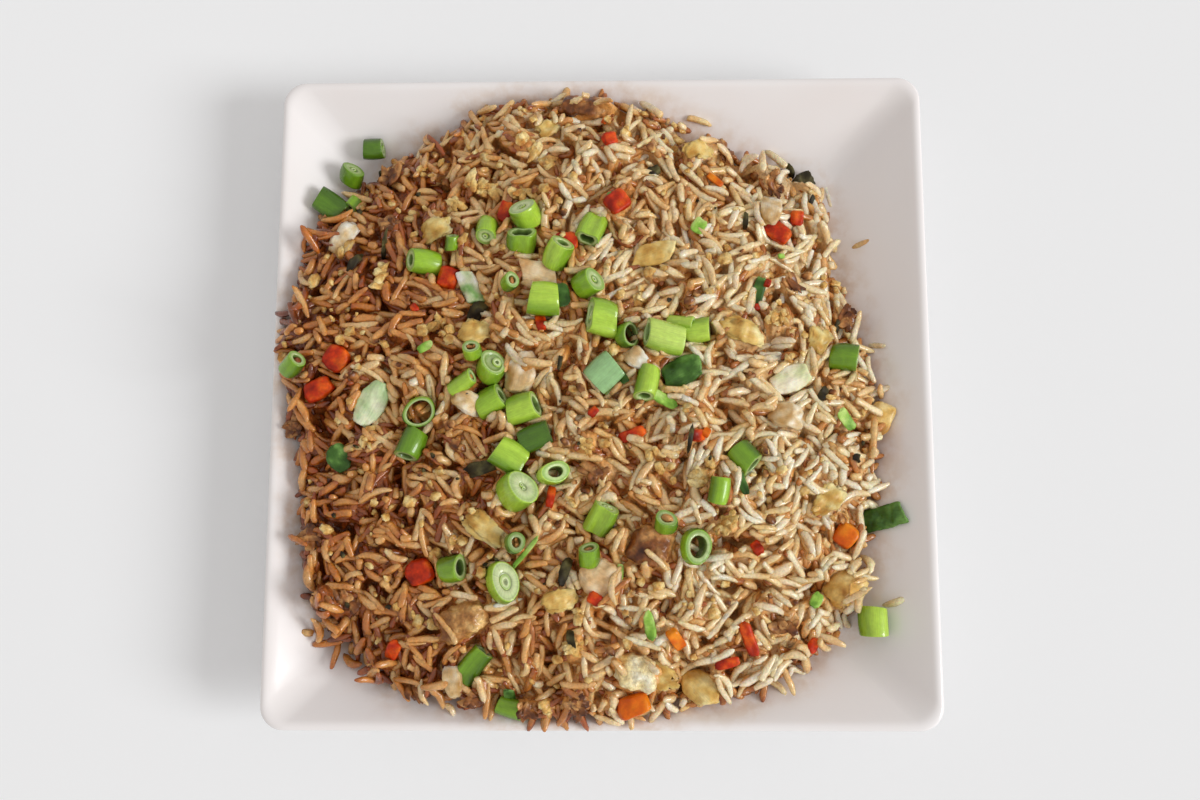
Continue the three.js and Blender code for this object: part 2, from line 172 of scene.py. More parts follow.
class Nodes:
    """A short way to write a material's nodes."""

    def __init__(self, name):
        self.material = bpy.data.materials.new(name)
        self.material.use_nodes = True
        self.tree = self.material.node_tree
        self.shader = self.tree.nodes["Principled BSDF"]

    def add(self, kind, values=(), **inputs):
        node = self.tree.nodes.new(kind)
        for key, value in dict(values).items():
            setattr(node, key, value)
        for key, value in inputs.items():
            self.put(node, key.replace("_", " "), value)
        return node

    def put(self, node, socket, value):
        target = node.inputs[socket]
        if isinstance(value, bpy.types.NodeSocket):
            self.tree.links.new(value, target)
        else:
            target.default_value = value

    def noise(self, vector, scale, detail=3.0, roughness=0.55):
        node = self.add("ShaderNodeTexNoise", Vector=vector, Scale=scale, Detail=detail, Roughness=roughness)
        return node.outputs["Fac"]

    def ramp(self, value, low, high, to_low, to_high):
        node = self.add("ShaderNodeMapRange", Value=value, From_Min=low, From_Max=high,
                        To_Min=to_low, To_Max=to_high)
        return node.outputs["Result"]

    def tinted(self, base, value):
        """The base colour times a grey value."""
        node = self.add("ShaderNodeVectorMath", {"operation": "SCALE"})
        self.tree.links.new(base, node.inputs[0])
        self.tree.links.new(value, node.inputs["Scale"])
        return node.outputs["Vector"]

    def mixed(self, share, first, second):
        node = self.add("ShaderNodeMix", {"data_type": "RGBA"})
        for k, value in ((0, share), (6, first), (7, second)):
            if isinstance(value, bpy.types.NodeSocket):
                self.tree.links.new(value, node.inputs[k])
            else:
                node.inputs[k].default_value = value if k == 0 else (*value, 1)
        return node.outputs[2]

    def bump(self, height, strength, distance):
        node = self.add("ShaderNodeBump", Height=height, Strength=strength, Distance=distance)
        return node.outputs["Normal"]

    def finished(self, **inputs):
        """The material, with its shader's sockets filled in."""
        for key, value in inputs.items():
            self.put(self.shader, key.replace("_", " "), value)
        return self.material


def food(name, rough=0.4, mottle=0.16, grain=900.0, bump=0.35, depth=0.0002, soft=0.12, glow=0.0012,
         coat=0.0, streaks=0.0, bleed=(1.0, 0.75, 0.5)):
    """Moist food: the piece's own paint, mottled at two scales, with uneven gloss and fine relief.

    soft, glow and bleed say how much, how far and in which colours light spreads inside it.
    """
    n = Nodes(name)
    paint = n.add("ShaderNodeAttribute", {"attribute_name": "paint"}).outputs["Color"]
    place = n.add("ShaderNodeTexCoord").outputs["Object"]
    fine = n.noise(place, grain)
    broad = n.noise(place, grain * 0.22, detail=2.0)
    shade = n.ramp(fine, 0.3, 0.7, 1 - mottle, 1 + mottle)
    shown = n.tinted(paint, shade)
    shown = n.tinted(shown, n.ramp(broad, 0.3, 0.7, 1 - mottle * 0.7, 1 + mottle * 0.7))
    relief = fine
    if streaks:
        fibre = n.add("ShaderNodeAttribute", {"attribute_name": "fibre"}).outputs["Vector"]
        stripe = n.noise(fibre, 9.0, detail=2.0)
        shown = n.tinted(shown, n.ramp(stripe, 0.32, 0.68, 1 - streaks, 1 + streaks))
        relief = stripe
    gloss = n.ramp(broad, 0.3, 0.7, rough - 0.09, rough + 0.1)
    return n.finished(Base_Color=shown, Roughness=gloss, Normal=n.bump(relief, bump, depth),
                      Subsurface_Weight=soft, Subsurface_Radius=bleed, Subsurface_Scale=glow,
                      Coat_Weight=coat, Coat_Roughness=0.11, Specular_IOR_Level=0.3)


def porcelain():
    """White glaze, very slightly uneven, with a faint smear of oil and sauce near the food that also holds
    painted shade and a painted warm reflection from the rice.
    """
    n = Nodes("porcelain")
    place = n.add("ShaderNodeTexCoord").outputs["Object"]
    sauce_and_shade = n.add("ShaderNodeAttribute", {"attribute_name": "sauce_and_shade"}).outputs["Fac"]
    cloud = n.noise(place, 18.0, detail=2.0)
    patch = n.noise(place, 160.0, detail=5.0)
    clean = n.mixed(n.ramp(cloud, 0.35, 0.65, 0.0, 1.0), colour(243, 238, 236), colour(245, 242, 241))
    # The sauce colour near the food, which also stands in for painted shade and warm reflection from the
    # rice, patchy by noise.
    share = n.add("ShaderNodeMath", {"operation": "MULTIPLY"})
    n.tree.links.new(sauce_and_shade, share.inputs[0])
    n.tree.links.new(n.ramp(patch, 0.42, 0.62, 0.25, 1.0), share.inputs[1])
    shown = n.mixed(share.outputs["Value"], clean, colour(206, 172, 134))
    gloss = n.ramp(cloud, 0.3, 0.7, 0.13, 0.2)
    return n.finished(Base_Color=shown, Roughness=gloss, Normal=n.bump(cloud, 0.05, 0.0006),
                      Coat_Weight=0.25, Coat_Roughness=0.08)


def table_top():
    """A plain pale surface."""
    n = Nodes("floor")
    place = n.add("ShaderNodeTexCoord").outputs["Object"]
    shown = n.mixed(n.noise(place, 3.0), colour(246, 248, 249), colour(248, 250, 251))
    return n.finished(Base_Color=shown, Roughness=0.9)


GRAIN_SKIN = food("rice", rough=0.34, mottle=0.18, grain=1000.0, bump=1.0, depth=0.0005, soft=0.32,
                  glow=0.0024, coat=0.9, bleed=(1.0, 0.5, 0.25))
CORE_SKIN = food("rice_core", rough=0.42, mottle=0.3, grain=420.0, bump=1.0, depth=0.0012, soft=0.2, coat=0.4)
STALK_SKIN = food("spring_onion", rough=0.3, mottle=0.07, grain=600.0, bump=0.4, depth=0.0003, soft=0.2,
                  glow=0.0014, coat=0.6, streaks=0.1)
LEAF_SKIN = food("onion_leaf", rough=0.34, mottle=0.14, bump=0.4, soft=0.08, streaks=0.12)
CABBAGE_SKIN = food("cabbage", rough=0.33, mottle=0.1, grain=700.0, bump=0.4, soft=0.3, glow=0.002,
                    streaks=0.07)
ONION_SKIN = food("white_onion", rough=0.3, mottle=0.1, soft=0.35, glow=0.0025, streaks=0.08)
EGG_SKIN = food("egg", rough=0.4, mottle=0.24, grain=900.0, bump=1.0, depth=0.0007, soft=0.2, coat=0.3)
BROWNED_SKIN = food("browned_cabbage", rough=0.36, mottle=0.14, bump=0.4, soft=0.2, glow=0.0016)
MEAT_SKIN = food("meat", rough=0.4, mottle=0.35, grain=650.0, bump=0.8, depth=0.0006, soft=0.12, coat=0.3)
PEPPER_SKIN = food("red_pepper", rough=0.42, mottle=0.2, bump=0.5, depth=0.0003, soft=0.15)
CARROT_SKIN = food("carrot", rough=0.34, mottle=0.1, bump=0.3, soft=0.15)
HERB_SKIN = food("herb", rough=0.6, mottle=0.3, bump=0.6, soft=0.0)

# ---- the plate -----------------------------------------------------------------------------


def upper_face(inset):
    """Height of the plate's upper face at a distance in from the rim."""
    climb = np.clip((WALL_INSET - np.maximum(inset, LIP_INSET)) / (WALL_INSET - LIP_INSET), 0, 1)
    return BASE_TOP + (PLATE_HEIGHT - 0.8 - BASE_TOP) * climb**1.25


def plate_top(x, y):
    """Height of the plate's upper face at a place."""
    return upper_face(PLATE_HALF - np.maximum(np.abs(x), np.abs(y)))


def plate_levels():
    """(inset from the rim, height) round the plate's section, from the middle of its underside to its top."""
    foot = PLATE_HALF - FOOT_HALF
    inner = foot + FOOT_WIDTH
    levels = [(PLATE_HALF - 2, FOOT_HEIGHT), (foot + 30, FOOT_HEIGHT), (inner + 3, FOOT_HEIGHT)]
    levels += [(inner + 0.6, FOOT_HEIGHT - 0.5), (inner, 0.3), (inner - 0.4, 0)]
    levels += [(foot + 0.4, 0), (foot, 0.3), (foot - 0.7, FOOT_HEIGHT - 0.5), (foot - 4, FOOT_HEIGHT)]
    wall = WALL_INSET + (LIP_INSET - WALL_INSET) * np.linspace(0, 1, 16)
    for inset in wall:
        share = 1 - inset / WALL_INSET
        under = upper_face(inset) - BASE_THICKNESS + 1.2 * share
        levels.append((min(inset + 1, WALL_INSET) - 1.8 * share, under))
    top = PLATE_HEIGHT
    levels += [(1.0, top - 3.6), (0.35, top - 2.9), (0.0, top - 2.0), (0.05, top - 1.2), (0.35, top - 0.55)]
    levels += [(0.9, top - 0.15), (1.7, top), (2.5, top - 0.08), (3.2, top - 0.35)]
    levels += [(inset, upper_face(inset)) for inset in wall[::-1]]
    levels += [(inset, BASE_TOP) for inset in (35, 38, 44, 52, 64, 78, 94, 110, PLATE_HALF - 2)]
    return levels


def rounded_square(half, radius, per_side):
    """Points round a square with rounded corners, evenly spread along each side and each corner."""
    radius = min(radius, half * 0.9)
    straight = half - radius
    per_corner = 12
    points = []
    for corner in range(4):
        turn = Matrix.Rotation(math.radians(90 * corner), 2)
        for step in range(per_corner):
            angle = math.radians(90 * step / per_corner)
            x = straight + radius * math.cos(angle)
            y = straight + radius * math.sin(angle)
            points.append(turn @ Vector((x, y)))
        for step in range(per_side):
            along = straight * (1 - 2 * step / per_side)
            points.append(turn @ Vector((along, half)))
    return np.array(points)


def make_plate(food_edge):
    """The glazed plate, with a smear of sauce and painted shade where food_edge says that the rice is near.
    """
    per_side = 46
    rings = []
    for inset, z in plate_levels():
        half = PLATE_HALF - inset
        outline = rounded_square(half, max(CORNER_RADIUS - inset * 0.1, 5.5), per_side)
        rings.append(np.column_stack([outline, np.full(len(outline), z)]))
    around = len(rings[0])
    vertices = np.concatenate(rings)
    faces = [ring_quads(len(rings), around)]
    under = np.arange(around)[::-1]
    above = np.arange(around) + (len(rings) - 1) * around
    faces += [under[None, :], above[None, :]]
    plate = new_piece("plate_glazed", vertices, faces, porcelain())
    distance = food_edge(vertices[:, 0], vertices[:, 1])
    drift = noise_at(vertices * [1, 1, 0], 14.0, 3.0)
    on_top = vertices[:, 2] >= plate_top(vertices[:, 0], vertices[:, 1]) - 0.05
    # Sauce stain and painted shade near the food, fading outwards from the rice's edge.
    sauce_and_shade = np.clip(1 - distance / (13 + 8 * drift), 0, 1) ** 1.3 * on_top * 0.75
    layer = plate.data.attributes.new("sauce_and_shade", "FLOAT", "POINT")
    layer.data.foreach_set("value", sauce_and_shade.astype(np.float32))
    belongs(plate, "porcelain", "plate")


# ---- height maps ---------------------------------------------------------------------------

SPOTS = np.arange(-REACH + CELL / 2, REACH, CELL)
MAP_X, MAP_Y = np.meshgrid(SPOTS, SPOTS)


def index_of(value):
    """The row or column of the height maps at a place."""
    return np.clip(((value + REACH) / CELL).astype(int), 0, len(SPOTS) - 1)


def look_down(*names):
    """Height of the highest surface of CAD nodes at each spot, or -1 where there is none."""
    return look(names, 200.0, Vector((0, 0, -1)))


def look_up(*names):
    """Height of the lowest surface of CAD nodes at each spot, or -1 where there is none."""
    return look(names, -10.0, Vector((0, 0, 1)))


def look(names, start, direction):
    """Height where straight rays from start first meet each CAD node: the highest or lowest of them all."""
    found = np.full(MAP_X.shape, -1.0)
    for name in names:
        vertices, triangles = cad_mesh(name)
        tree = BVHTree.FromPolygons(vertices.tolist(), triangles.tolist())
        low = index_of(vertices.min(0)[:2] - CELL)
        high = index_of(vertices.max(0)[:2] + CELL)
        for row in range(low[1], high[1] + 1):
            for column in range(low[0], high[0] + 1):
                place = tree.ray_cast(Vector((SPOTS[column], SPOTS[row], start)), direction)[0]
                if place is None:
                    continue
                known = found[row, column]
                better = max if direction.z < 0 else min
                found[row, column] = place.z if known < 0 else better(known, place.z)
    return found


# ---- laying grains and scraps --------------------------------------------------------------

ALONG = np.linspace(-0.92, 0.92, 9)
ACROSS = np.array([-0.55, 0.0, 0.55])


class Bed:
    """A height map on which pieces come to rest one by one, under a ceiling that they may not pass."""

    def __init__(self, floor, ceiling):
        self.height = floor.copy()
        self.ceiling = ceiling

    def rest(self, x, y, turn, length, width, thick, lean=0.0, sink=0.35, slack=0.5):
        """(height of its middle, slope) of a piece that comes to rest at x, y, or None if it doesn't fit."""
        along = ALONG * length / 2
        side = ACROSS * width / 2
        px = x + along[:, None] * math.cos(turn) - side[None, :] * math.sin(turn)
        py = y + along[:, None] * math.sin(turn) + side[None, :] * math.cos(turn)
        column = index_of(px)
        row = index_of(py)
        under = self.height[row, column].max(1)
        left, right = along[:4, None], along[None, 5:]
        # It bridges the two highest supports either side of its middle, or leans on its middle and one end.
        bridge = (under[:4, None] * right - under[None, 5:] * left) / (right - left)
        best = np.unravel_index(np.argmax(bridge), bridge.shape)
        if bridge[best] >= under[4]:
            slope = (under[5 + best[1]] - under[best[0]]) / (along[5 + best[1]] - along[best[0]])
        else:
            slope = ((under[5:] - under[4]) / along[5:]).max()
        slope = min(max(slope, -STEEPEST), STEEPEST) + lean
        middle = (under - slope * along).max() + thick / 2 - sink
        top = middle + slope * along + thick / 2
        if (top > self.ceiling[row[:, 1], column[:, 1]] + slack).any():
            return None
        return middle, slope

    def cover(self, x, y, turn, length, width, thick, middle, slope):
        """Raises the height map over a piece that has come to rest."""
        reach = length / 2 + 1
        rows = slice(*index_of(np.array([y - reach, y + reach])))
        columns = slice(*index_of(np.array([x - reach, x + reach])))
        dx = MAP_X[rows, columns] - x
        dy = MAP_Y[rows, columns] - y
        along = (dx * math.cos(turn) + dy * math.sin(turn)) / (length / 2)
        side = (dy * math.cos(turn) - dx * math.sin(turn)) / (width / 2)
        inside = 1 - along**4 - side**2
        crown = middle + slope * along * length / 2 + thick / 2 * np.sqrt(np.maximum(inside, 0))
        patch = self.height[rows, columns]
        np.copyto(patch, np.maximum(patch, crown), where=inside > 0)


def lay_grain(bed, x, y, laid, slack=0.5):
    """Lays one grain of random size and turn at a place, if it fits there."""
    broken = rng.random() < BROKEN_SHARE
    length = np.clip(rng.normal(GRAIN_LENGTH, LENGTH_SPREAD), *LENGTH_LIMITS)
    if broken:
        length *= rng.uniform(0.3, 0.65)
    width = np.clip(rng.normal(GRAIN_WIDTH, WIDTH_SPREAD), *WIDTH_LIMITS)
    thick = width * rng.uniform(0.7, 0.9)
    tilted = rng.random() < TILTED_SHARE
    drift = 2.2 * math.pi * noise.noise(Vector((x / 14, y / 14, 7.0)))
    for _ in range(5):
        turn = drift + rng.normal(0, TURN_SPREAD)
        lean = rng.choice([-1, 1]) * math.tan(rng.uniform(0.15, 0.8)) if tilted else rng.normal(0, 0.06)
        sink = rng.uniform(0.8, 2.0) + (0.24 * length * abs(lean) if tilted else 0)
        rested = bed.rest(x, y, turn, length, width, thick, lean, sink, slack)
        if rested:
            middle, slope = rested
            bed.cover(x, y, turn, length, width, thick, middle, slope)
            straight = rng.random() < STRAIGHT_SHARE
            bend = rng.normal(0, 0.05) if straight else rng.choice([-1, 1]) * rng.uniform(0.08, 0.2)
            roll = rng.uniform(0, 2 * math.pi)
            laid.append((x, y, middle, turn, slope, length, width, thick, bend, broken, roll))
            return True
        tilted = False
    return False


def lay_grains(bed, target, count, laid):
    """Lays grains where the bed is still below its target, until count have found a place."""
    done = 0
    rounds, batch = 300, 160
    chance = np.ones_like(target)  # falls where a grain has been turned away
    for _ in range(rounds):
        lack = np.clip(target - bed.height - 0.3, 0, 3.0) * chance
        total = lack.sum()
        if done >= count or total < 1:
            break
        picks = rng.choice(lack.size, size=min(batch, count - done), p=(lack / total).ravel())
        for pick in picks:
            row, column = divmod(int(pick), lack.shape[1])
            x = SPOTS[column] + rng.uniform(-0.4, 0.4)
            y = SPOTS[row] + rng.uniform(-0.4, 0.4)
            fits = lay_grain(bed, x, y, laid)
            done += fits
            if not fits:
                chance[row - 1:row + 2, column - 1:column + 2] *= 0.4


def dress(bed, places, laid):
    """Lays a few grains over the edges of scraps, each place being (x, y, radius)."""
    for x, y, radius in places:
        for _ in range(rng.integers(1, 4)):
            turn = rng.uniform(0, 2 * math.pi)
            reach = radius * rng.uniform(0.6, 1.0)
            lay_grain(bed, x + reach * math.cos(turn), y + reach * math.sin(turn), laid)


def laid_frame(x, y, middle, turn, slope):
    """Centre and directions (along, across, up) of a piece that has come to rest."""
    along = np.array([math.cos(turn), math.sin(turn), slope])
    along /= np.linalg.norm(along)
    across = np.array([-math.sin(turn), math.cos(turn), 0.0])
    return np.array([x, y, middle]), along, across, np.cross(along, across)


# ---- colours of the rice -------------------------------------------------------------------


def palette(*shades):
    """A row of colours, each given as it shows on screen."""
    return [colour(*shade) for shade in shades]


RICE_COLOURS = palette((88, 36, 10), (163, 87, 30), (213, 152, 80), (235, 203, 150), (247, 235, 212))
GOLDEN_LOSS = np.array([0.0, 0.05, 0.26])  # the shares of red, green and blue that pale grains may lose
REDDISH_LOSS = np.array([0.1, 0.5, 1.1])  # and those that the darkest grains, browned and darkened as painted shade, may lose


def blend(stops, share):
    """A colour for each share from 0 to 1 along evenly spaced stops."""
    table = np.array(stops)
    place = np.clip(share, 0, 1) * (len(table) - 1)
    low = np.minimum(place.astype(int), len(table) - 2)
    part = (place - low)[..., None]
    return table[low] * (1 - part) + table[low + 1] * part


def paleness(x, y):
    """From 0 at the browned left of the heap to 1 at its pale right."""
    return np.clip((x + 0.14 * y + 105) / 190, 0, 1) ** 0.6


def rice_share(x, y, buried, scatter=0.085):
    """How pale each grain is: less to the left, with a wide scatter, and darker where it lies under others as
    painted shade.
    """
    places = np.column_stack([x, y, np.zeros_like(x)])
    side = paleness(x, y)
    patches = 0.12 * noise_at(places, 26.0, 1.7) + 0.1 * noise_at(places, 9.0, 4.7)
    scorched = 0.13 * np.exp(-((x + 75) ** 2 + (y - 50) ** 2) / 1000)
    share = 0.385 + 0.445 * side - scorched + patches + rng.normal(0, scatter, len(x))
    # Painted shade: grains that lie deeper under others are painted darker.
    share -= (0.29 - 0.06 * side) * np.clip(buried, 0, 2.6)
    return np.clip(share, 0.06 + 0.25 * side, 0.88)


# ---- grains as meshes ----------------------------------------------------------------------

SIDES = 6
# Each (place along the grain, girth), as shares of half its length and half its width.
WHOLE_GRAIN = [(-1.0, 0.0), (-0.97, 0.42), (-0.82, 0.74), (-0.52, 0.95), (-0.18, 1.0), (0.18, 1.0),
               (0.52, 0.96), (0.82, 0.76), (0.97, 0.44), (1.0, 0.0)]
BROKEN_GRAIN = [(-1.0, 0.0), (-0.92, 0.5), (-0.6, 0.92), (0.0, 1.02), (0.6, 1.0), (0.93, 0.75), (1.0, 0.0)]


def grain_template(profile):
    """A grain's quads, its end triangles, and each corner's place in a unit map."""
    rings = len(profile) - 2
    last = (rings - 1) * SIDES
    quads = ring_quads(rings, SIDES)
    ring, side = quads[:, 0] // SIDES, quads[:, 0] % SIDES
    low, high = (ring + 1) / (rings + 1), (ring + 2) / (rings + 1)
    left, right = side / SIDES, (side + 1) / SIDES
    quad_spots = np.stack([left, low, right, low, right, high, left, high], -1).reshape(-1, 2)
    ends = []
    end_spots = []
    for side in range(SIDES):
        beside = (side + 1) % SIDES
        ends += [(rings * SIDES, beside, side), (rings * SIDES + 1, last + side, last + beside)]
        left, right = side / SIDES, (side + 1) / SIDES
        low, high = 1 / (rings + 1), rings / (rings + 1)
        end_spots += [((left + right) / 2, 0.0), (right, low), (left, low)]
        end_spots += [((left + right) / 2, 1.0), (left, high), (right, high)]
    return quads, np.array(ends), quad_spots, np.array(end_spots)


def grain_vertices(laid, profile):
    """Every grain's vertices, and the place along and round the grain that they all share."""
    x, y, z, turn, slope, length, width, thick, bend, _, roll = laid
    count = len(x)
    pitch = np.arctan(slope)
    forward = np.stack([np.cos(turn) * np.cos(pitch), np.sin(turn) * np.cos(pitch), np.sin(pitch)], -1)
    level = np.stack([-np.sin(turn), np.cos(turn), np.zeros(count)], -1)
    upward = np.cross(forward, level)
    rings = np.array(profile[1:-1])
    u = np.append(np.repeat(rings[:, 0], SIDES), [-1.0, 1.0])
    radius = np.append(np.repeat(rings[:, 1], SIDES), [0.0, 0.0])
    around = np.append(np.tile(np.arange(SIDES) / SIDES * 2 * math.pi, len(rings)), [0.0, 0.0])
    phase = roll[:, None]
    low_end = u < 0
    taper = np.where(low_end, rng.uniform(0.3, 1.7, (count, 1)), rng.uniform(0.3, 1.7, (count, 1)))
    flare = np.where(low_end, rng.uniform(-0.2, 0.26, (count, 1)), rng.uniform(-0.28, 0.1, (count, 1)))
    plump = 1 + 0.07 * np.sin(2.6 * u + phase) + 0.09 * np.sin(2 * around + 3 * phase) + flare * u**2
    plump += 0.08 * np.sin(7 * u + around + 5 * phase) + rng.normal(0, 0.065, (count, len(u)))
    girth = radius**taper * plump
    crook = 0.03 * np.sin(11 * phase) * (u**3 - 0.6 * u)
    arc = (bend[:, None] * (u**2 - 0.4) + crook) * length[:, None]
    across = np.cos(around) * girth * width[:, None] / 2 + arc * np.cos(roll)[:, None]
    height = np.sin(around) * girth * thick[:, None] / 2 - arc * 0.6 * np.abs(np.sin(roll))[:, None]
    run = u * length[:, None] / 2
    centre = np.stack([x, y, z], -1)
    vertices = (centre[:, None, :] + run[..., None] * forward[:, None, :]
                + across[..., None] * level[:, None, :] + height[..., None] * upward[:, None, :])
    return vertices, u, radius, around


def make_grains(name, laid, profile, share):
    """One mesh of all grains of a kind, each painted along its length and by its place in the heap, with a
    painted lighter upper side and painted shade where it lies under others.
    """
    vertices, u, radius, around = grain_vertices(laid, profile)
    x, y, roll = laid[0], laid[1], laid[-1]
    count = len(x)
    quads, ends, quad_spots, end_spots = grain_template(profile)
    starts = np.arange(count)[:, None, None] * len(u)
    faces = [(quads[None] + starts).reshape(-1, 4), (ends[None] + starts).reshape(-1, 3)]
    tip = rng.uniform(-0.2, 0.25, count)[:, None] * np.clip(np.abs(u) - 0.5, 0, 1)
    belly = 0.07 * np.sin(3.1 * u[None, :] + 2 * roll[:, None])
    # Painted light: the upper side of each grain is painted paler.
    upper = 0.09 * np.sin(around)[None, :] * radius
    paint = blend(RICE_COLOURS, share[:, None] + tip + belly + upper)
    side = paleness(x, y)[:, None, None]
    # Darker grains, whose darkness is partly painted shade, turn redder.
    dark = 1 - share[:, None, None]
    paint *= 1 - rng.uniform(0, 1, (count, 1, 1)) * (side * GOLDEN_LOSS + (1 - side) * dark * REDDISH_LOSS)
    piece = new_piece(name, vertices.reshape(-1, 3), faces, GRAIN_SKIN, paint.reshape(-1, 3))
    per_row = math.ceil(math.sqrt(count))
    cell = np.stack([np.arange(count) % per_row, np.arange(count) // per_row], -1)
    margin = 0.1
    spots = [((cell[:, None, :] + margin + (1 - 2 * margin) * part[None]) / per_row).reshape(-1, 2)
             for part in (quad_spots, end_spots)]
    layer = piece.data.uv_layers.new(name="OFBake")
    layer.data.foreach_set("uv", np.concatenate(spots).astype(np.float32).ravel())
    belongs(piece, "rice", "rice_heap")


def belongs(piece, slot, *nodes):
    """Hides the CAD nodes that a piece stands for and attaches the piece to the root body. slot is not used.
    """
    if nodes:
        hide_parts(*nodes)
    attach(piece, "root")


# ---- lengths of spring onion ---------------------------------------------------------------

SKINS = palette((50, 84, 8), (96, 140, 22), (148, 194, 36), (188, 220, 78), (218, 238, 144))
CUT_GREEN = colour(148, 196, 70)
CUT_WHITE = colour(222, 236, 178)
BLUISH_SKIN = colour(150, 192, 132)


def measure_stalk(name):
    """Reads a CAD tube: its middle, directions (along, across, over), half length, half widths and bore."""
    vertices, triangles = cad_mesh(name)
    a, b, c = (vertices[triangles[:, k]] for k in range(3))
    normals = np.cross(b - a, c - a)
    normals = normals[np.linalg.norm(normals, axis=1) > 1e-3]
    normals /= np.linalg.norm(normals, axis=1)[:, None]

    def in_end_planes(direction):
        reach = vertices @ direction
        return (np.minimum(reach - reach.min(), reach.max() - reach) < 0.05).mean()

    axis = max(normals, key=in_end_planes)
    if axis[2] < 0:
        axis = -axis
    reach = vertices @ axis
    side = np.cross(axis, [0, 0, 1.0])
    side /= max(np.linalg.norm(side), 1e-9)
    over = np.cross(side, axis)
    flat = np.column_stack([vertices @ side, vertices @ over])
    middle = (flat.max(0) + flat.min(0)) / 2
    flat -= middle
    half = np.abs(flat).max(0)
    bore = np.hypot(flat[:, 0] / half[0], flat[:, 1] / half[1]).min()
    centre = axis * (reach.max() + reach.min()) / 2 + side * middle[0] + over * middle[1]
    return (centre, axis, side, over), (reach.max() - reach.min()) / 2, half, float(np.clip(bore, 0.25, 0.85))


def stalk_section(bore, bulge, cut, pale, light, filled):
    """(share of the radius, place along, colour) from the bore out to the skin, along it and back in."""
    wall = 1 - bore
    # Painted shade: the bore's wall and the recessed filling are painted darker where they lie deeper inside.
    if filled:
        section = [(0.04, 0.8, 0.7 * pale), (0.6 * bore, 0.83, 0.75 * pale), (0.97 * bore, 0.88, 0.7 * cut)]
    else:
        section = [(bore, place, cut * (0.3 + 0.5 * place**2)) for place in (0.1, 0.6, 0.9)]
    section += [(bore + 0.03, 0.98, pale), (bore + 0.35 * wall, 1.0, pale), (bore + 0.62 * wall, 0.985, cut)]
    section += [(bore + 0.72 * wall, 0.97, 0.85 * cut), (bore + 0.85 * wall, 0.99, cut)]
    section += [(0.975, 0.985, light)]
    body = [(1.0 + bulge * (1 - place**2), place, None) for place in np.linspace(0.94, -0.94, 9)]
    return section + body + [(share, -place, tint) for share, place, tint in section[::-1]]


def tube(axes, half_length, half, bore, tone, seed, pinch=0.0, slit=0.0, hearts=(), bulge=0.07, bluish=False,
         milky=0.2):
    """The parts of a length of spring onion: a ribbed skin with its upper side painted lighter as painted
    light, cut ends, a bore, and leaves rolled inside it.

    pinch folds it into two lobes, slit (degrees) leaves it open along one side, hearts are (across, over,
    size) of inner tubes as shares of the bore, and milky is how pale the cut is.
    """
    centre, axis, side, over = axes
    around = 36
    gap = math.radians(slit)
    turn = math.pi / 2 * math.sin(seed)
    angle = turn + gap / 2 + np.arange(around) / (around - (slit > 0)) * (2 * math.pi - gap)
    wobble = 1 + 0.04 * np.sin(2 * angle + seed) + 0.025 * np.sin(3 * angle + 2 * seed)
    for fold in (-1, 1):
        wobble -= pinch * np.exp(-((np.sin(angle) - fold) / 0.12) ** 2)
    ribs = 0.012 * np.sin(19 * angle + seed) + 0.008 * np.sin(31 * angle + 3 * seed)
    # Painted light: the upper side of the skin is painted lighter, from the shaded skin colour to the lit
    # one, with faint real stripes.
    top_light_and_stripes = 0.05 + 0.9 * np.sin(angle + 0.5 * math.sin(seed)) + 0.1 * np.sin(7 * angle + seed)
    top_light_and_stripes = np.clip(top_light_and_stripes, 0, 1)[:, None]
    # Shaded and lit copies of the skin colour, for painted shade and painted light; the lit one also rims the
    # cut ends.
    skin, light = blend(SKINS, np.array([tone - 0.35, tone + 0.05]))
    # Shaded and lit copies of the bluish skin colour, painted shade and painted light.
    if bluish:
        skin, light = 0.7 * BLUISH_SKIN, BLUISH_SKIN * 1.15
    cut, pale = blend([CUT_GREEN, CUT_WHITE], np.array([milky, milky + 0.45])) * (0.5 + 0.6 * tone)
    section = stalk_section(bore, bulge, cut, pale, light, filled=bool(hearts))
    slants = [0.16 * math.sin(seed * k) for k in (1.7, 2.9, 4.3, 5.1)]
    vertices, paint, fibre = [], [], []
    for share, place, tint in section:
        rim = share * (wobble + ribs * (tint is None))
        across = np.cos(angle) * rim * half[0]
        up = np.sin(angle) * rim * half[1]
        slant = slants[:2] if place > 0 else slants[2:]
        run = place * half_length + abs(place) * (across * slant[0] + up * slant[1])
        bow = 0.06 * half_length * math.sin(seed * 3) * (place**2 - 0.3)
        vertices.append(centre + run[:, None] * axis + (across + bow)[:, None] * side + up[:, None] * over)
        paint.append(skin * (1 - top_light_and_stripes) + light * top_light_and_stripes if tint is None else np.tile(tint, (around, 1)))
        along = np.full(around, place * 0.15)
        fibre.append(np.column_stack([np.cos(angle) * 1.5, np.sin(angle) * 1.5, along]) + seed)
    quads = ring_quads(len(section), around, closed=not slit)
    if slit:
        rows = np.arange(len(section) // 2)
        lips = np.stack([rows, rows + 1, len(section) - 2 - rows, len(section) - 1 - rows], -1) * around
        quads = np.concatenate([quads, lips, (lips + around - 1)[:, ::-1]])
    else:
        bore_wall = np.stack([np.arange(around), np.roll(np.arange(around), -1)], -1)
        last = (len(section) - 1) * around
        quads = np.concatenate([quads, np.column_stack([bore_wall[:, ::-1], bore_wall + last])])
    parts = [(np.concatenate(vertices), quads, np.concatenate(paint), np.concatenate(fibre))]
    for number, (right, upper, size) in enumerate(hearts, start=1):
        inner = bore * 0.98 * half
        spot = centre + side * right * inner[0] + over * upper * inner[1]
        reach = half_length * (0.97 + 0.05 * math.sin(seed + number))
        parts += tube((spot, axis, side, over), reach, inner * size, 0.38, min(tone + 0.2, 0.9),
                      seed + number, milky=0.5)
    return parts


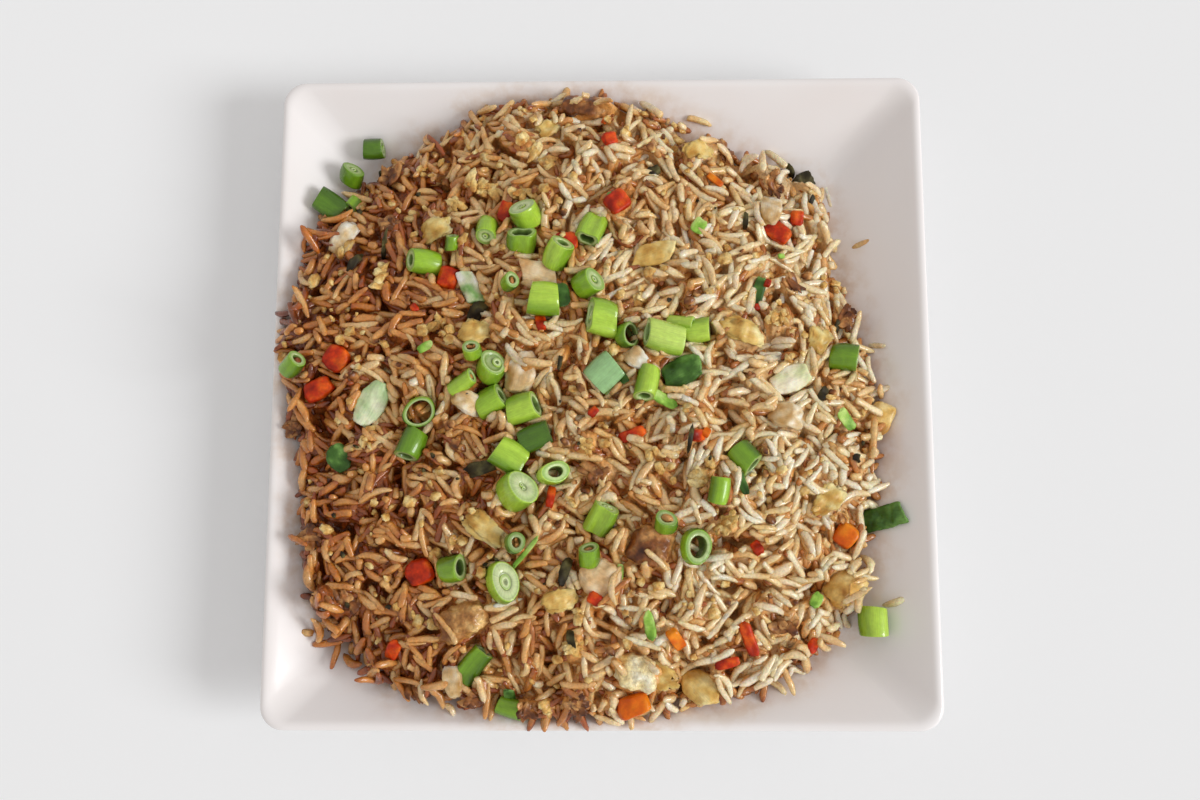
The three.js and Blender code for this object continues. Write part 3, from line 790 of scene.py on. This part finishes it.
TWO_HEARTS = ((-0.42, 0.15, 0.5), (0.4, -0.1, 0.55))
ONE_HEART = ((0.05, -0.05, 0.72),)
STALK_LOOKS = {
    1: dict(tone=0.12, hearts=ONE_HEART), 2: dict(tone=0.25, hearts=ONE_HEART),
    3: dict(tone=0.14, pinch=0.3), 4: dict(tone=0.55, hearts=ONE_HEART),
    5: dict(tone=0.6, hearts=TWO_HEARTS, milky=0.5), 6: dict(tone=0.5, pinch=0.3),
    7: dict(tone=0.58, pinch=0.28), 8: dict(tone=0.66), 9: dict(tone=0.5, bulge=0.12),
    10: dict(tone=0.66), 11: dict(tone=0.42, hearts=ONE_HEART),
    12: dict(tone=0.64, pinch=0.34, hearts=ONE_HEART), 13: dict(tone=0.3, slit=30),
    14: dict(tone=0.8, bulge=0.1), 15: dict(tone=0.7), 16: dict(tone=0.6, bluish=True, slit=50),
    17: dict(tone=0.64), 18: dict(tone=0.52, hearts=((0.2, -0.3, 0.5),)), 19: dict(tone=0.52),
    20: dict(tone=0.64), 21: dict(tone=0.38), 22: dict(tone=0.26), 23: dict(tone=0.08),
    24: dict(tone=0.6, pinch=0.3), 25: dict(tone=0.6, hearts=TWO_HEARTS, milky=0.6), 26: dict(tone=0.72),
    27: dict(tone=0.58, pinch=0.36, hearts=TWO_HEARTS), 28: dict(tone=0.42), 29: dict(tone=0.38),
    30: dict(tone=0.6, hearts=((0, 0, 0.86),), milky=0.8), 31: dict(tone=0.3, pinch=0.3),
    32: dict(tone=0.4), 33: dict(tone=0.32), 34: dict(tone=0.28), 35: dict(tone=0.66, bulge=0.03),
}


def make_stalks():
    """Every spring onion node as a finely made tube."""
    for number, name in enumerate(STALKS, start=1):
        parts = tube(*measure_stalk(name), seed=number * 1.37, **STALK_LOOKS[number])
        vertices, quads, paint, fibre = joined(parts)
        piece = new_piece(f"{name}_fresh", vertices, [quads], STALK_SKIN, paint, fibre)
        belongs(piece, "spring_onion", name)


# ---- scraps and chunks ---------------------------------------------------------------------


def remeshed(name, voxel):
    """A CAD node's shape as an even fine mesh: vertices in millimetres, normals and quads."""
    copy = bpy.data.objects.new("raw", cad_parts[name].data.copy())
    bpy.context.scene.collection.objects.link(copy)
    remesh = copy.modifiers.new("even", "REMESH")
    remesh.mode = "VOXEL"
    remesh.voxel_size = voxel * MM
    smooth = copy.modifiers.new("soften", "SMOOTH")
    smooth.iterations = 3
    smooth.factor = 0.6
    shaped = copy.evaluated_get(bpy.context.evaluated_depsgraph_get()).to_mesh()
    vertices = np.empty(len(shaped.vertices) * 3)
    shaped.vertices.foreach_get("co", vertices)
    normals = np.empty(len(shaped.vertices) * 3)
    shaped.vertices.foreach_get("normal", normals)
    quads = np.empty(len(shaped.loops), int)
    shaped.loops.foreach_get("vertex_index", quads)
    mesh = copy.data
    bpy.data.objects.remove(copy)
    bpy.data.meshes.remove(mesh)
    return vertices.reshape(-1, 3) / MM, normals.reshape(-1, 3), quads.reshape(-1, 4)


def scrap_paint(vertices, local, colours, patches, seed):
    """Colours from one end of a scrap to the other and in patches, and the coordinates of its fibres."""
    share = 0.5 + 0.3 * local[:, 0] + 0.7 * noise_at(vertices, patches, seed + 4)
    share += 0.16 * noise_at(vertices, 1.1, seed + 6)
    return blend(colours, share), np.column_stack([local[:, 1:] * 1.2, local[:, :1] * 0.15]) + seed


def make_scrap(name, slot, material, colours, swell, scale, voxel=0.55, patches=4.0):
    """A CAD node as real food: its form made uneven by noise."""
    vertices, normals, quads = remeshed(name, voxel)
    seed = sum(map(ord, name)) * 0.37
    push = noise_at(vertices, scale, seed) * swell + noise_at(vertices, scale * 0.4, seed + 9) * swell * 0.45
    middle = vertices - vertices.mean(0)
    _, _, directions = np.linalg.svd(middle, full_matrices=False)
    local = middle @ directions.T
    paint, fibre = scrap_paint(vertices, local / np.abs(local).max(0), colours, patches, seed)
    piece = new_piece(f"{name}_real", vertices + normals * push[:, None], [quads], material, paint, fibre)
    belongs(piece, slot, name)


LEAF_GREENS = palette((40, 70, 16), (66, 106, 38), (116, 160, 78))
BRIGHT_GREENS = palette((104, 150, 44), (150, 196, 76), (196, 222, 128))
MINT = palette((236, 238, 206), (206, 226, 176), (170, 208, 140))
WHITE_TO_GREEN = palette((248, 246, 236), (216, 226, 184), (108, 170, 70))
PALE_CABBAGE = palette((252, 248, 228), (246, 240, 208), (222, 228, 176))
CREAM = palette((206, 160, 104), (226, 194, 146), (240, 222, 188))
YELLOW_CABBAGE = palette((190, 138, 58), (222, 186, 104), (240, 222, 158))
BROWNED = palette((182, 124, 52), (226, 184, 100), (246, 220, 152))
EGG_GOLD = palette((190, 128, 52), (224, 182, 102), (246, 222, 158))
EGG_PALE = palette((224, 184, 110), (246, 226, 170), (252, 244, 214))
EGG_BROWNED = palette((136, 82, 34), (184, 132, 70), (228, 190, 124))
ONION_CLEAR = palette((186, 142, 78), (220, 192, 144), (246, 240, 222))
MEAT_BROWN = palette((84, 40, 12), (142, 84, 34), (206, 152, 90))
PEPPER_RED = palette((138, 22, 0), (196, 50, 3), (226, 100, 18))
CARROT_ORANGE = palette((200, 80, 2), (222, 108, 6), (236, 140, 24))
HERB_DARK = palette((30, 22, 10), (56, 48, 22), (98, 92, 52))


def make_scraps():
    """Every leaf, cube and chunk node as real food."""
    leaf_looks = [("onion_leaf", LEAF_SKIN, LEAF_GREENS)] * 2
    for colours in (MINT, WHITE_TO_GREEN, PALE_CABBAGE, YELLOW_CABBAGE, CREAM, YELLOW_CABBAGE):
        leaf_looks.append(("cabbage", CABBAGE_SKIN, colours))
    for name, look in zip(LEAVES, leaf_looks):
        make_scrap(name, *look, 0.5, 3.4)
    for name in CUBES[:5]:
        make_scrap(name, "red_pepper", PEPPER_SKIN, PEPPER_RED, 0.5, 4.0)
    for name in CUBES[5:]:
        make_scrap(name, "carrot", CARROT_SKIN, CARROT_ORANGE, 0.2, 5.0)
    chunk_looks = [("white_onion", ONION_SKIN, ONION_CLEAR, 0.5)]
    chunk_looks += [("browned_cabbage", BROWNED_SKIN, BROWNED, 0.4)] * 2
    chunk_looks += [("egg", EGG_SKIN, EGG_BROWNED, 0.9), ("egg", EGG_SKIN, EGG_PALE, 0.9)]
    chunk_looks += [("cabbage", CABBAGE_SKIN, CREAM, 0.8)]
    chunk_looks += [("meat", MEAT_SKIN, MEAT_BROWN, 0.9)] * 2
    for name, look in zip(CHUNKS, chunk_looks):
        make_scrap(name, *look, 3.0, voxel=0.65)


def quad_sphere(steps):
    """Directions and quads of a cube drawn out to a sphere."""
    line = np.tan(np.linspace(-1, 1, steps + 1) * math.pi / 4)
    u, v = (grid.ravel() for grid in np.meshgrid(line, line, indexing="ij"))
    one = np.ones_like(u)
    sides = [(one, u, v), (-one, v, u), (v, one, u), (u, -one, v), (u, v, one), (v, u, -one)]
    points = np.concatenate([np.column_stack(side) for side in sides])
    quads = np.concatenate([ring_quads(steps + 1, steps + 1, closed=False) + k * len(u) for k in range(6)])
    unique, place = np.unique(points.round(5), axis=0, return_inverse=True)
    return unique / np.linalg.norm(unique, axis=1)[:, None], place.reshape(-1)[quads]


def lump(axes, length, width, height, seed, colours, blocky=2.5, rough=0.15, curl=0.0, ripple=0.0,
         steps=9, patches=3.0):
    """A scrap of food: round or blocky, made uneven, curled along its length and rippled like a leaf."""
    directions, quads = quad_sphere(steps)
    shape = directions / (np.abs(directions) ** blocky).sum(1)[:, None] ** (1 / blocky)
    swell = 1 + rough * (noise_at(directions, 0.75, seed) + 0.5 * noise_at(directions, 0.3, seed + 5)
                         + 0.35 * noise_at(directions, 0.13, seed + 8))
    local = shape * swell[:, None]
    centre, along, across, up = axes
    x, y, z = (local * [length / 2, width / 2, height / 2]).T
    z = z + curl * (x**2 / max(length, 1) - length / 12)
    z = z + ripple * noise_at(np.column_stack([x, y, 0 * x]), 3.2, seed + 11)
    vertices = centre + x[:, None] * along + y[:, None] * across + z[:, None] * up
    paint, fibre = scrap_paint(vertices, local, colours, patches, seed)
    return vertices, quads, paint, fibre


def settle(bed, x, y, turn, length, width, height, lean=0.0, sink=0.8):
    """Lets a scrap come to rest on the bed and returns its axes."""
    turn = math.radians(turn)
    slope = math.tan(math.radians(lean))
    rested = bed.rest(x, y, turn, length * 0.8, width * 0.8, height, slope, sink, slack=OPEN)
    bed.cover(x, y, turn, length, width, height, *rested)
    return laid_frame(x, y, rested[0], turn, rested[1])


# Small toppings, each (x, y, turn, length, width, ...) in millimetres and degrees.
SMALL_STALKS = [  # then lean and tone
    (30.4, 23.2, -10, 10.5, 5.0, 0, 0.72), (-46.5, 11.3, 90, 6.0, 6.5, 70, 0.56),
    (-50.4, 0.1, 30, 10.0, 6.2, 8, 0.6), (-3.3, -63.6, 90, 8.0, 7.2, 30, 0.38),
    (24.4, -52, 80, 6.5, 7.8, 50, 0.34), (44, -39.9, 80, 9.5, 7.4, 0, 0.46),
    (-116.6, 9, 35, 9.0, 7.2, 10, 0.36), (-98.7, 77.8, 60, 5.0, 5.6, 30, 0.4),
    (-56.2, 55.6, 80, 5.5, 5.0, 40, 0.36), (-33, 37.5, 20, 5.0, 6.0, 60, 0.36),
    (-30.5, -59, 0, 5.0, 7.5, 62, 0.16),
]
SMALL_PEPPERS = [
    (7, 70.5, 40, 9, 8), (-12.3, 55.3, 10, 8, 7), (-35.9, 67.7, 75, 8, 5), (12.4, -19, 20, 10, 4),
    (36.1, -19.8, 10, 6, 4.5), (-1.5, -79, 150, 5, 4.5), (3.5, -76.5, 95, 5.5, 3), (76.9, 68.3, 80, 6, 5),
    (4.2, 97.5, 20, 6, 5), (-77, -97.4, 60, 8, 5), (-17.6, -42, 82, 8, 3), (55, -93.5, 110, 13, 4.5),
    (46.8, -102.2, 15, 9, 3.5), (79.7, -95.8, 60, 6, 4), (58, -60.4, 120, 5, 4), (-21.5, 23, 100, 6, 4),
    (-2, -11, 45, 4, 3), (64, 40, 70, 4, 2.5), (60, 31, 20, 3, 2.5), (-70, 30, 120, 4, 3),
]
SMALL_CARROTS = [
    (27.9, -93.4, 125, 9.5, 4.5), (39.5, -18.5, 60, 4, 3), (45, 83, 140, 7, 2.5), (2, 108, 60, 3, 2),
]
ONION_BITS = [
    (-47.8, -7, -25, 13, 8), (71.2, -11.5, -10, 14, 9), (-54, -108.4, 100, 11, 7),
    (66.5, 70.7, 80, 12, 8), (-100, 60, 60, 14, 8), (13, 10, -40, 10, 7),
]
CABBAGE_BITS = [
    (-41, -54, -38, 17, 8), (-14, -79, 20, 12, 8), (54, 20, -20, 15, 9), (-46, 20, 10, 12, 8),
    (84, 20, 60, 12, 8), (22, -107, 150, 14, 8), (86, -42, 40, 12, 8), (-63, 62, 15, 12, 8),
    (40, 96, 30, 14, 8), (-20, 104, 30, 10, 7),
]
BROWN_BITS = [
    (-107, 73, 30, 13, 11), (-117.5, -12, 60, 12, 9), (-96, -79, -25, 23, 7), (-25.9, -119, 20, 11, 8),
    (-9.2, -118, 70, 11, 10), (-46.4, -115.6, 10, 9, 8), (48.3, 99, 30, 9, 8), (-104.8, -80, 40, 12, 9),
    (0.4, -32, 20, 12, 9), (68.6, -88.4, 10, 12, 8), (-82, 66, 130, 10, 9), (-110, -55, 100, 10, 8),
    (70, 84, 10, 12, 9), (-84, 88, 20, 12, 6), (-114, 42, 90, 10, 6), (-70, -112, -20, 12, 7),
    (96, 30, 80, 9, 8), (74, 42, 20, 10, 8),
]
EGG_BITS = [
    (-27.9, 95.9, -30, 13, 8), (-45.1, 79.2, -20, 16, 7), (-30.5, 75.4, 15, 9, 6), (-55.7, 72, 35, 9, 6),
    (68.4, 26.2, 40, 12, 9), (-84, 44, 82, 14, 4.5), (15.5, 33, 30, 9, 5), (37.1, -35.7, 60, 9, 7),
    (-20, 88, 60, 9, 7), (-62, 24, 30, 10, 6), (-4, -22, 70, 9, 6), (46, -52, 0, 10, 8),
    (-9, -96, 80, 12, 6),
]
DARK_HERBS = [
    (82.6, 88.9, 20, 12, 6), (-94.3, 51.1, 60, 10, 3), (-83.3, 55.6, 78, 13, 1.8), (56.3, 65.3, 85, 7, 2),
    (84.2, -2.5, 60, 7, 3), (97.2, -26.3, 10, 6, 3.5), (21.7, 85.6, 20, 6, 4), (-43.8, -31.3, 15, 13, 5),
    (-45.7, 29.2, 55, 12, 5.5), (-12, -68, 75, 12, 3.5), (33.6, -21, 80, 10, 1.6), (77, 93, 110, 6, 2.5),
    (-10, -94, 100, 8, 3), (-88, 93, 10, 7, 2), (-14, 8, 80, 8, 1.6), (84, 78, 60, 4, 2),
    (92, 26, 80, 6, 2),
]
GREEN_BITS = [  # then 1 for a bright leaf and 0 for a dark one
    (92.8, -11.5, 130, 10, 4, 1), (81, -79.1, 60, 6, 4, 1), (-64.6, 13.7, 30, 6, 3, 1),
    (-33.2, -115.5, 95, 12, 4, 0), (52.5, -36.5, 110, 9, 3, 0), (60.6, 37.3, 75, 10, 4.5, 0),
    (18.4, -88.4, 100, 10, 4, 1), (-13.5, 33.2, 100, 9, 5, 0), (-98.4, -26.1, 120, 10, 8, 0),
    (-26.5, -62, 50, 14, 1.8, 1), (7, -72.5, 80, 13, 3, 1), (24, -6, 150, 10, 4, 1), (9, 2, 120, 6, 3, 0),
    (70, 52, 20, 3, 2, 1), (38, 62, 60, 6, 5, 1), (4, 72, 90, 6, 2, 0),
]
LOOSE_GRAINS = [  # (x, y) of single grains on the bare plate
    (111, -80), (-117, 61.7), (-112, -91), (-101, -99), (-95, -102), (-88, -105), (-83, -107),
    (-74, -112), (-92, -98), (-104, -88), (71, 98), (-104, -95), (-99, -93), (-107, -90), (-63, 103),
    (99, -70), (-56, -119), (92, 84), (104, 62), (108, 20), (-97, 82), (62, -104), (88, -93), (-110, 68),
    (40, 112), (-118, 30),
]


def scatter_toppings(bed, seed, places, colours, height, sink=0.4, **form):
    """Scraps of one kind at their places, as parts of one mesh."""
    parts = []
    for number, (x, y, turn, length, width) in enumerate(places):
        tall = min(height, width * 0.8) * rng.uniform(0.85, 1.15)
        axes = settle(bed, x, y, turn, length, width, tall, rng.uniform(-14, 14), sink=tall * sink)
        parts.append(lump(axes, length, width, tall, seed + number * 2.3, colours, **form))
    return parts


def scatter_curds(bed, places, colours, height, size):
    """Crumbly scraps, each of several lumps grown together, as parts of one mesh."""
    parts = []
    for x, y, turn, length, width in places:
        middle, along, across, up = settle(bed, x, y, turn, length, width, height, sink=height * 0.5)
        for _ in range(max(4, round(length * width / size**2 * 1.7))):
            forward = rng.uniform(-0.5, 0.5) * (length - size)
            aside = rng.uniform(-0.5, 0.5) * max(width - size, 0.5)
            spot = middle + forward * along + aside * across + rng.uniform(-0.25, 0.25) * height * up
            twist = rng.uniform(0, math.pi)
            heading = math.cos(twist) * along + math.sin(twist) * across + rng.uniform(-0.5, 0.5) * up
            heading /= np.linalg.norm(heading)
            beside = np.cross(up, heading)
            beside /= np.linalg.norm(beside)
            axes = (spot, heading, beside, np.cross(heading, beside))
            long, wide = size * rng.uniform(1.0, 1.9), size * rng.uniform(0.45, 0.9)
            tall = height * rng.uniform(0.35, 0.7)
            seed = rng.uniform(0, 90)
            parts.append(lump(axes, long, wide, tall, seed, colours, rough=0.4, ripple=0.9, steps=5))
    return parts


def scatter_crumbs(bed, target, count, sizes, colours, mask_seed):
    """Small crumbs wherever a seeded mask allows them, mostly in clusters."""
    parts = []
    rows, columns = np.nonzero(target > 0)
    while len(parts) < count:
        pick = rng.integers(len(rows))
        x, y = SPOTS[columns[pick]], SPOTS[rows[pick]]
        if noise.noise(Vector((x / 16, y / 16, mask_seed))) < rng.uniform(-0.15, 0.5):
            continue
        size = rng.uniform(*sizes)
        width, tall = size * rng.uniform(0.5, 0.9), size * rng.uniform(0.3, 0.55)
        turn = rng.uniform(0, 360)
        if bed.rest(x, y, math.radians(turn), size, width, tall, slack=1.0) is None:
            continue
        axes = settle(bed, x, y, turn, size, width, tall, rng.uniform(-25, 25), sink=0.35 * tall)
        seed = rng.uniform(0, 90)
        parts.append(lump(axes, size, width, tall, seed, colours, rough=0.5, steps=4, patches=2.0))
    return parts


def make_extras(bed, target):
    """All small toppings that are not CAD nodes."""
    stalks = []
    for number, (x, y, turn, length, width, lean, tone) in enumerate(SMALL_STALKS):
        centre, along, across, up = settle(bed, x, y, turn, length, width, width * 0.9, lean, sink=1.2)
        half = np.array([width, width * 0.9]) / 2
        stalks += tube((centre, along, across, up), length / 2, half, 0.5, tone, number * 2.1 + 0.4)
    greens = []
    for number, (x, y, turn, length, width, bright) in enumerate(GREEN_BITS):
        axes = settle(bed, x, y, turn, length, width, 1.2, rng.uniform(-12, 12), sink=0.3)
        colours = BRIGHT_GREENS if bright else LEAF_GREENS
        greens.append(lump(axes, length, width, 1.1, number * 1.9, colours, blocky=3.5, rough=0.2, curl=0.3))
    looks = [
        ("spring_onion_slices", "spring_onion", STALK_SKIN, stalks),
        ("leaf_scraps", "onion_leaf", LEAF_SKIN, greens),
        ("pepper_bits", "red_pepper", PEPPER_SKIN,
         scatter_toppings(bed, 6, SMALL_PEPPERS, PEPPER_RED, 3.2, 0.6, blocky=4.5, rough=0.14,
                          ripple=0.8)),
        ("carrot_bits", "carrot", CARROT_SKIN,
         scatter_toppings(bed, 6, SMALL_CARROTS, CARROT_ORANGE, 3.5, blocky=6.0, rough=0.06)),
        ("onion_bits", "white_onion", ONION_SKIN,
         scatter_toppings(bed, 5, ONION_BITS, ONION_CLEAR, 1.8, blocky=3.0, rough=0.24, curl=-0.9,
                          ripple=1.2)),
        ("cabbage_bits", "cabbage", CABBAGE_SKIN,
         scatter_toppings(bed, 7, CABBAGE_BITS, YELLOW_CABBAGE, 1.1, blocky=2.6, rough=0.5,
                          curl=-0.4, ripple=1.6)),
        ("brown_bits", "meat", MEAT_SKIN, scatter_curds(bed, BROWN_BITS, MEAT_BROWN, 2.6, 5.0)),
        ("egg_curls", "egg", EGG_SKIN, scatter_curds(bed, EGG_BITS, EGG_GOLD, 2.4, 4.2)),
        ("herb_strips", "onion_leaf", HERB_SKIN,
         scatter_toppings(bed, 4, DARK_HERBS, HERB_DARK, 1.0, 0.5, rough=0.25, curl=-0.9, ripple=2.4)),
        ("egg_crumbs", "egg", EGG_SKIN, scatter_crumbs(bed, target, 290, (2.0, 5.5), EGG_GOLD, 3.3)),
        ("brown_crumbs", "meat", MEAT_SKIN, scatter_crumbs(bed, target, 100, (1.8, 4.5), MEAT_BROWN, 8.1)),
        ("herb_flecks", "onion_leaf", HERB_SKIN, scatter_crumbs(bed, target, 32, (1.0, 3.0), HERB_DARK, 5.9)),
    ]
    for name, slot, material, parts in looks:
        vertices, quads, paint, fibre = joined(parts)
        belongs(new_piece(name, vertices, [quads], material, paint, fibre), slot)


# ---- the heap ------------------------------------------------------------------------------


def smoothed(height, rounds):
    """A height map with its small hollows and ridges worn away."""
    for _ in range(rounds):
        for axis in (0, 1):
            height = (np.roll(height, 1, axis) + 2 * height + np.roll(height, -1, axis)) / 4
    return height


def make_core(has_rice, height):
    """The middle of the heap, with sticky rice and egg reaching up between the lowest grains in sight."""
    rings, sectors = 110, 340
    t = np.linspace(0, 1, rings) ** 0.75
    angle = np.arange(sectors) / sectors * 2 * math.pi
    reach = np.arange(60.0, 150.0, 0.5)
    rims = []
    for a in angle:
        on_rice = has_rice[index_of(reach * math.sin(a)), index_of(reach * math.cos(a))]
        rims.append(reach[on_rice].max() - 3.0)
    x = (t[:, None] * np.array(rims) * np.cos(angle)).ravel()
    y = (t[:, None] * np.array(rims) * np.sin(angle)).ravel()
    flat = np.column_stack([x, y, 0 * x])
    rough = noise_at(flat, 2.2, 5.0)
    # How far it lies under the grains: less where rice and egg are mashed together.
    depth = 1.2 + 3.0 * np.clip(noise_at(flat, 11.0, 8.0) + 0.1, 0, 1) + 0.8 * rough
    z = np.maximum(smoothed(height, 2)[index_of(y), index_of(x)] - depth, plate_top(x, y) + 0.2)
    edge = np.arange(sectors) + (rings - 1) * sectors
    vertices = np.column_stack([x, y, z])
    rim = vertices[edge]
    rim[:, 2] = plate_top(rim[:, 0], rim[:, 1]) + 0.1
    below = np.arange(sectors) + len(vertices)
    rim_quads = np.stack([edge, below, np.roll(below, -1), np.roll(edge, -1)], -1)
    vertices = np.concatenate([vertices, rim])
    # The core is painted as dark as grains lying 0.8 mm under others: painted shade.
    share = rice_share(vertices[:, 0], vertices[:, 1], np.full(len(vertices), 0.8), scatter=0.03)
    share += 0.12 * np.append(rough, rim[:, 2] * 0)
    faces = [ring_quads(rings, sectors), rim_quads, below[::-1][None, :]]
    core = new_piece("rice_core", vertices, faces, CORE_SKIN, blend(RICE_COLOURS, share))
    belongs(core, "rice", "rice_heap")


def clumped(surface, has_rice, covered):
    """The height that the rice should reach: clumps, creases and bays where no topping lies on it."""
    grid = np.column_stack([MAP_X.ravel(), MAP_Y.ravel(), 0 * MAP_X.ravel()])
    clumps = np.minimum(4.2 * noise_at(grid, 14.0, 2.0) + 2.6 * noise_at(grid, 6.0, 6.0), 2.2)
    clumps -= 6.0 * np.exp(-((noise_at(grid, 15.0, 12.0) / 0.07) ** 2))
    clumps = clumps.reshape(MAP_X.shape)
    return np.where(has_rice, surface + np.where(covered, 0, clumps), -1)


def lay_fringe(bed, has_rice, laid):
    """Lays grains just inside and outside the edge of the rice."""
    inner = has_rice & np.roll(has_rice, 3, 0) & np.roll(has_rice, -3, 0) & np.roll(has_rice, 3, 1)
    fringe = np.argwhere(has_rice & ~(inner & np.roll(has_rice, -3, 1)))
    for row, column in rng.permutation(fringe)[:FRINGE_TRIES]:
        stray = 1 + rng.uniform(-0.035, 0.02)
        x, y = SPOTS[column] * stray, SPOTS[row] * stray
        if max(abs(x), abs(y)) < FRINGE_LIMIT:
            lay_grain(bed, x, y, laid)


def make_rice(laid, top):
    """The laid grains as one mesh for each kind. top is the height map of the finished heap."""
    columns = np.array(laid).T
    x, y, middle, thick, bend = columns[[0, 1, 2, 7, 8]]
    # Each grain's depth under the heap's top, which darkens it as painted shade.
    share = rice_share(x, y, top[index_of(y), index_of(x)] - middle - thick / 2)
    broken = columns[9] > 0.5
    curved = ~broken & (np.abs(bend) > CURVED_BEND)
    straight = ~broken & ~curved
    brown, pale = np.quantile(share[straight], (0.33, 0.67))
    kinds = [
        # The darkest third are browned grains and grains darkened by painted shade.
        ("rice_browned_and_shaded", straight & (share < brown), WHOLE_GRAIN),
        ("rice_golden", straight & (share >= brown) & (share < pale), WHOLE_GRAIN),
        ("rice_pale", straight & (share >= pale), WHOLE_GRAIN),
        ("rice_curved", curved, WHOLE_GRAIN),
        ("rice_broken", broken, BROKEN_GRAIN),
    ]
    for name, chosen, profile in kinds:
        make_grains(name, columns[:, chosen], profile, share[chosen])


def make_heap():
    """Lays the rice and the small toppings inside the CAD heap. Returns the map of where rice lies."""
    surface = look_down("rice_heap")
    toppings = STALKS + LEAVES + CUBES + CHUNKS
    under = look_up(*toppings)
    has_rice = surface > 0
    covered = under > 0
    plate = plate_top(MAP_X, MAP_Y)
    target = clumped(surface, has_rice, covered)
    floor = np.where(has_rice, np.maximum(target - GRAIN_BED, plate), plate)
    ceiling = np.where(covered, under, np.where(has_rice, target + HEADROOM, plate + LOOSE_HEADROOM))
    bed = Bed(floor, ceiling)
    laid = []
    lay_grains(bed, target, FIRST_GRAINS, laid)
    make_extras(bed, target)
    for places in (ONION_BITS, CABBAGE_BITS, EGG_BITS, SMALL_PEPPERS):
        dress(bed, [(x, y, length / 2) for x, y, _, length, _ in places], laid)
    lay_grains(bed, target, LAST_GRAINS, laid)
    solid = look_down(*CHUNKS)
    bed.height = np.maximum(bed.height, solid)
    bed.ceiling = np.where(covered & (solid < 0), under, OPEN)
    boxes = [np.array(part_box(name)) / MM for name in CHUNKS[:7]]
    dress(bed, [(*(low + high)[:2] / 2, (high - low)[:2].mean() / 2) for low, high in boxes], laid)
    for x, y in LOOSE_GRAINS:
        lay_grain(bed, x, y, laid)
    lay_fringe(bed, has_rice, laid)
    make_rice(laid, bed.height)
    make_core(has_rice, bed.height)
    return has_rice


def edge_distance(has_rice):
    """A measure of how far any place is outside the edge of the rice, in millimetres."""
    rows, columns = np.nonzero(has_rice)
    sectors = 180
    rim = np.zeros(sectors)

    def sector(x, y):
        return ((np.arctan2(y, x) + math.pi) / (2 * math.pi) * sectors).astype(int) % sectors

    np.maximum.at(rim, sector(SPOTS[columns], SPOTS[rows]), np.hypot(SPOTS[columns], SPOTS[rows]))
    return lambda x, y: np.maximum(np.hypot(x, y) - rim[sector(x, y)], 0)


# ---- light, floor and camera ---------------------------------------------------------------


def make_floor():
    """A table top that reaches to the horizon."""
    side = 9000.0
    corners = np.array([[-1, -1, 0], [1, -1, 0], [1, 1, 0], [-1, 1, 0]]) * side
    new_piece("floor", corners, [np.array([[0, 1, 2, 3]])], table_top())


def make_camera():
    """Above the plate, leaning a little towards the person eating. Places here are in metres."""
    camera = bpy.data.cameras.new("camera")
    camera.sensor_width = 36
    camera.lens = 40.97
    eye = bpy.data.objects.new("camera", camera)
    place = Vector((0.0125, -0.0898, 0.5422))
    aim = Vector((0, -0.003, 0.025))
    back = (place - aim).normalized()
    right = Vector((0, 1, 0)).cross(back).normalized()
    eye.matrix_world = Matrix((right, back.cross(right), back)).transposed().to_4x4()
    eye.location = place
    bpy.context.scene.collection.objects.link(eye)
    bpy.context.scene.camera = eye


def make_studio():
    """A broad low light from the right and an even, slightly warm fill."""
    scene = bpy.context.scene
    scene.view_settings.view_transform = "Standard"
    world = bpy.data.worlds.new("studio")
    world.use_nodes = True
    fill = world.node_tree.nodes["Background"]
    fill.inputs["Color"].default_value = (1.0, 0.965, 0.95, 1)
    fill.inputs["Strength"].default_value = 0.62
    scene.world = world
    light = bpy.data.lights.new("key", "SUN")
    light.angle = math.radians(24)
    light.energy = 1.75
    light.color = (0.98, 0.99, 1.0)
    lamp = bpy.data.objects.new("key", light)
    towards_light = Vector((0.86, -0.22, 0.47))
    lamp.rotation_euler = towards_light.to_track_quat("Z", "Y").to_euler()
    scene.collection.objects.link(lamp)


has_rice = make_heap()
make_plate(edge_distance(has_rice))
make_stalks()
make_scraps()
make_floor()
make_studio()
make_camera()
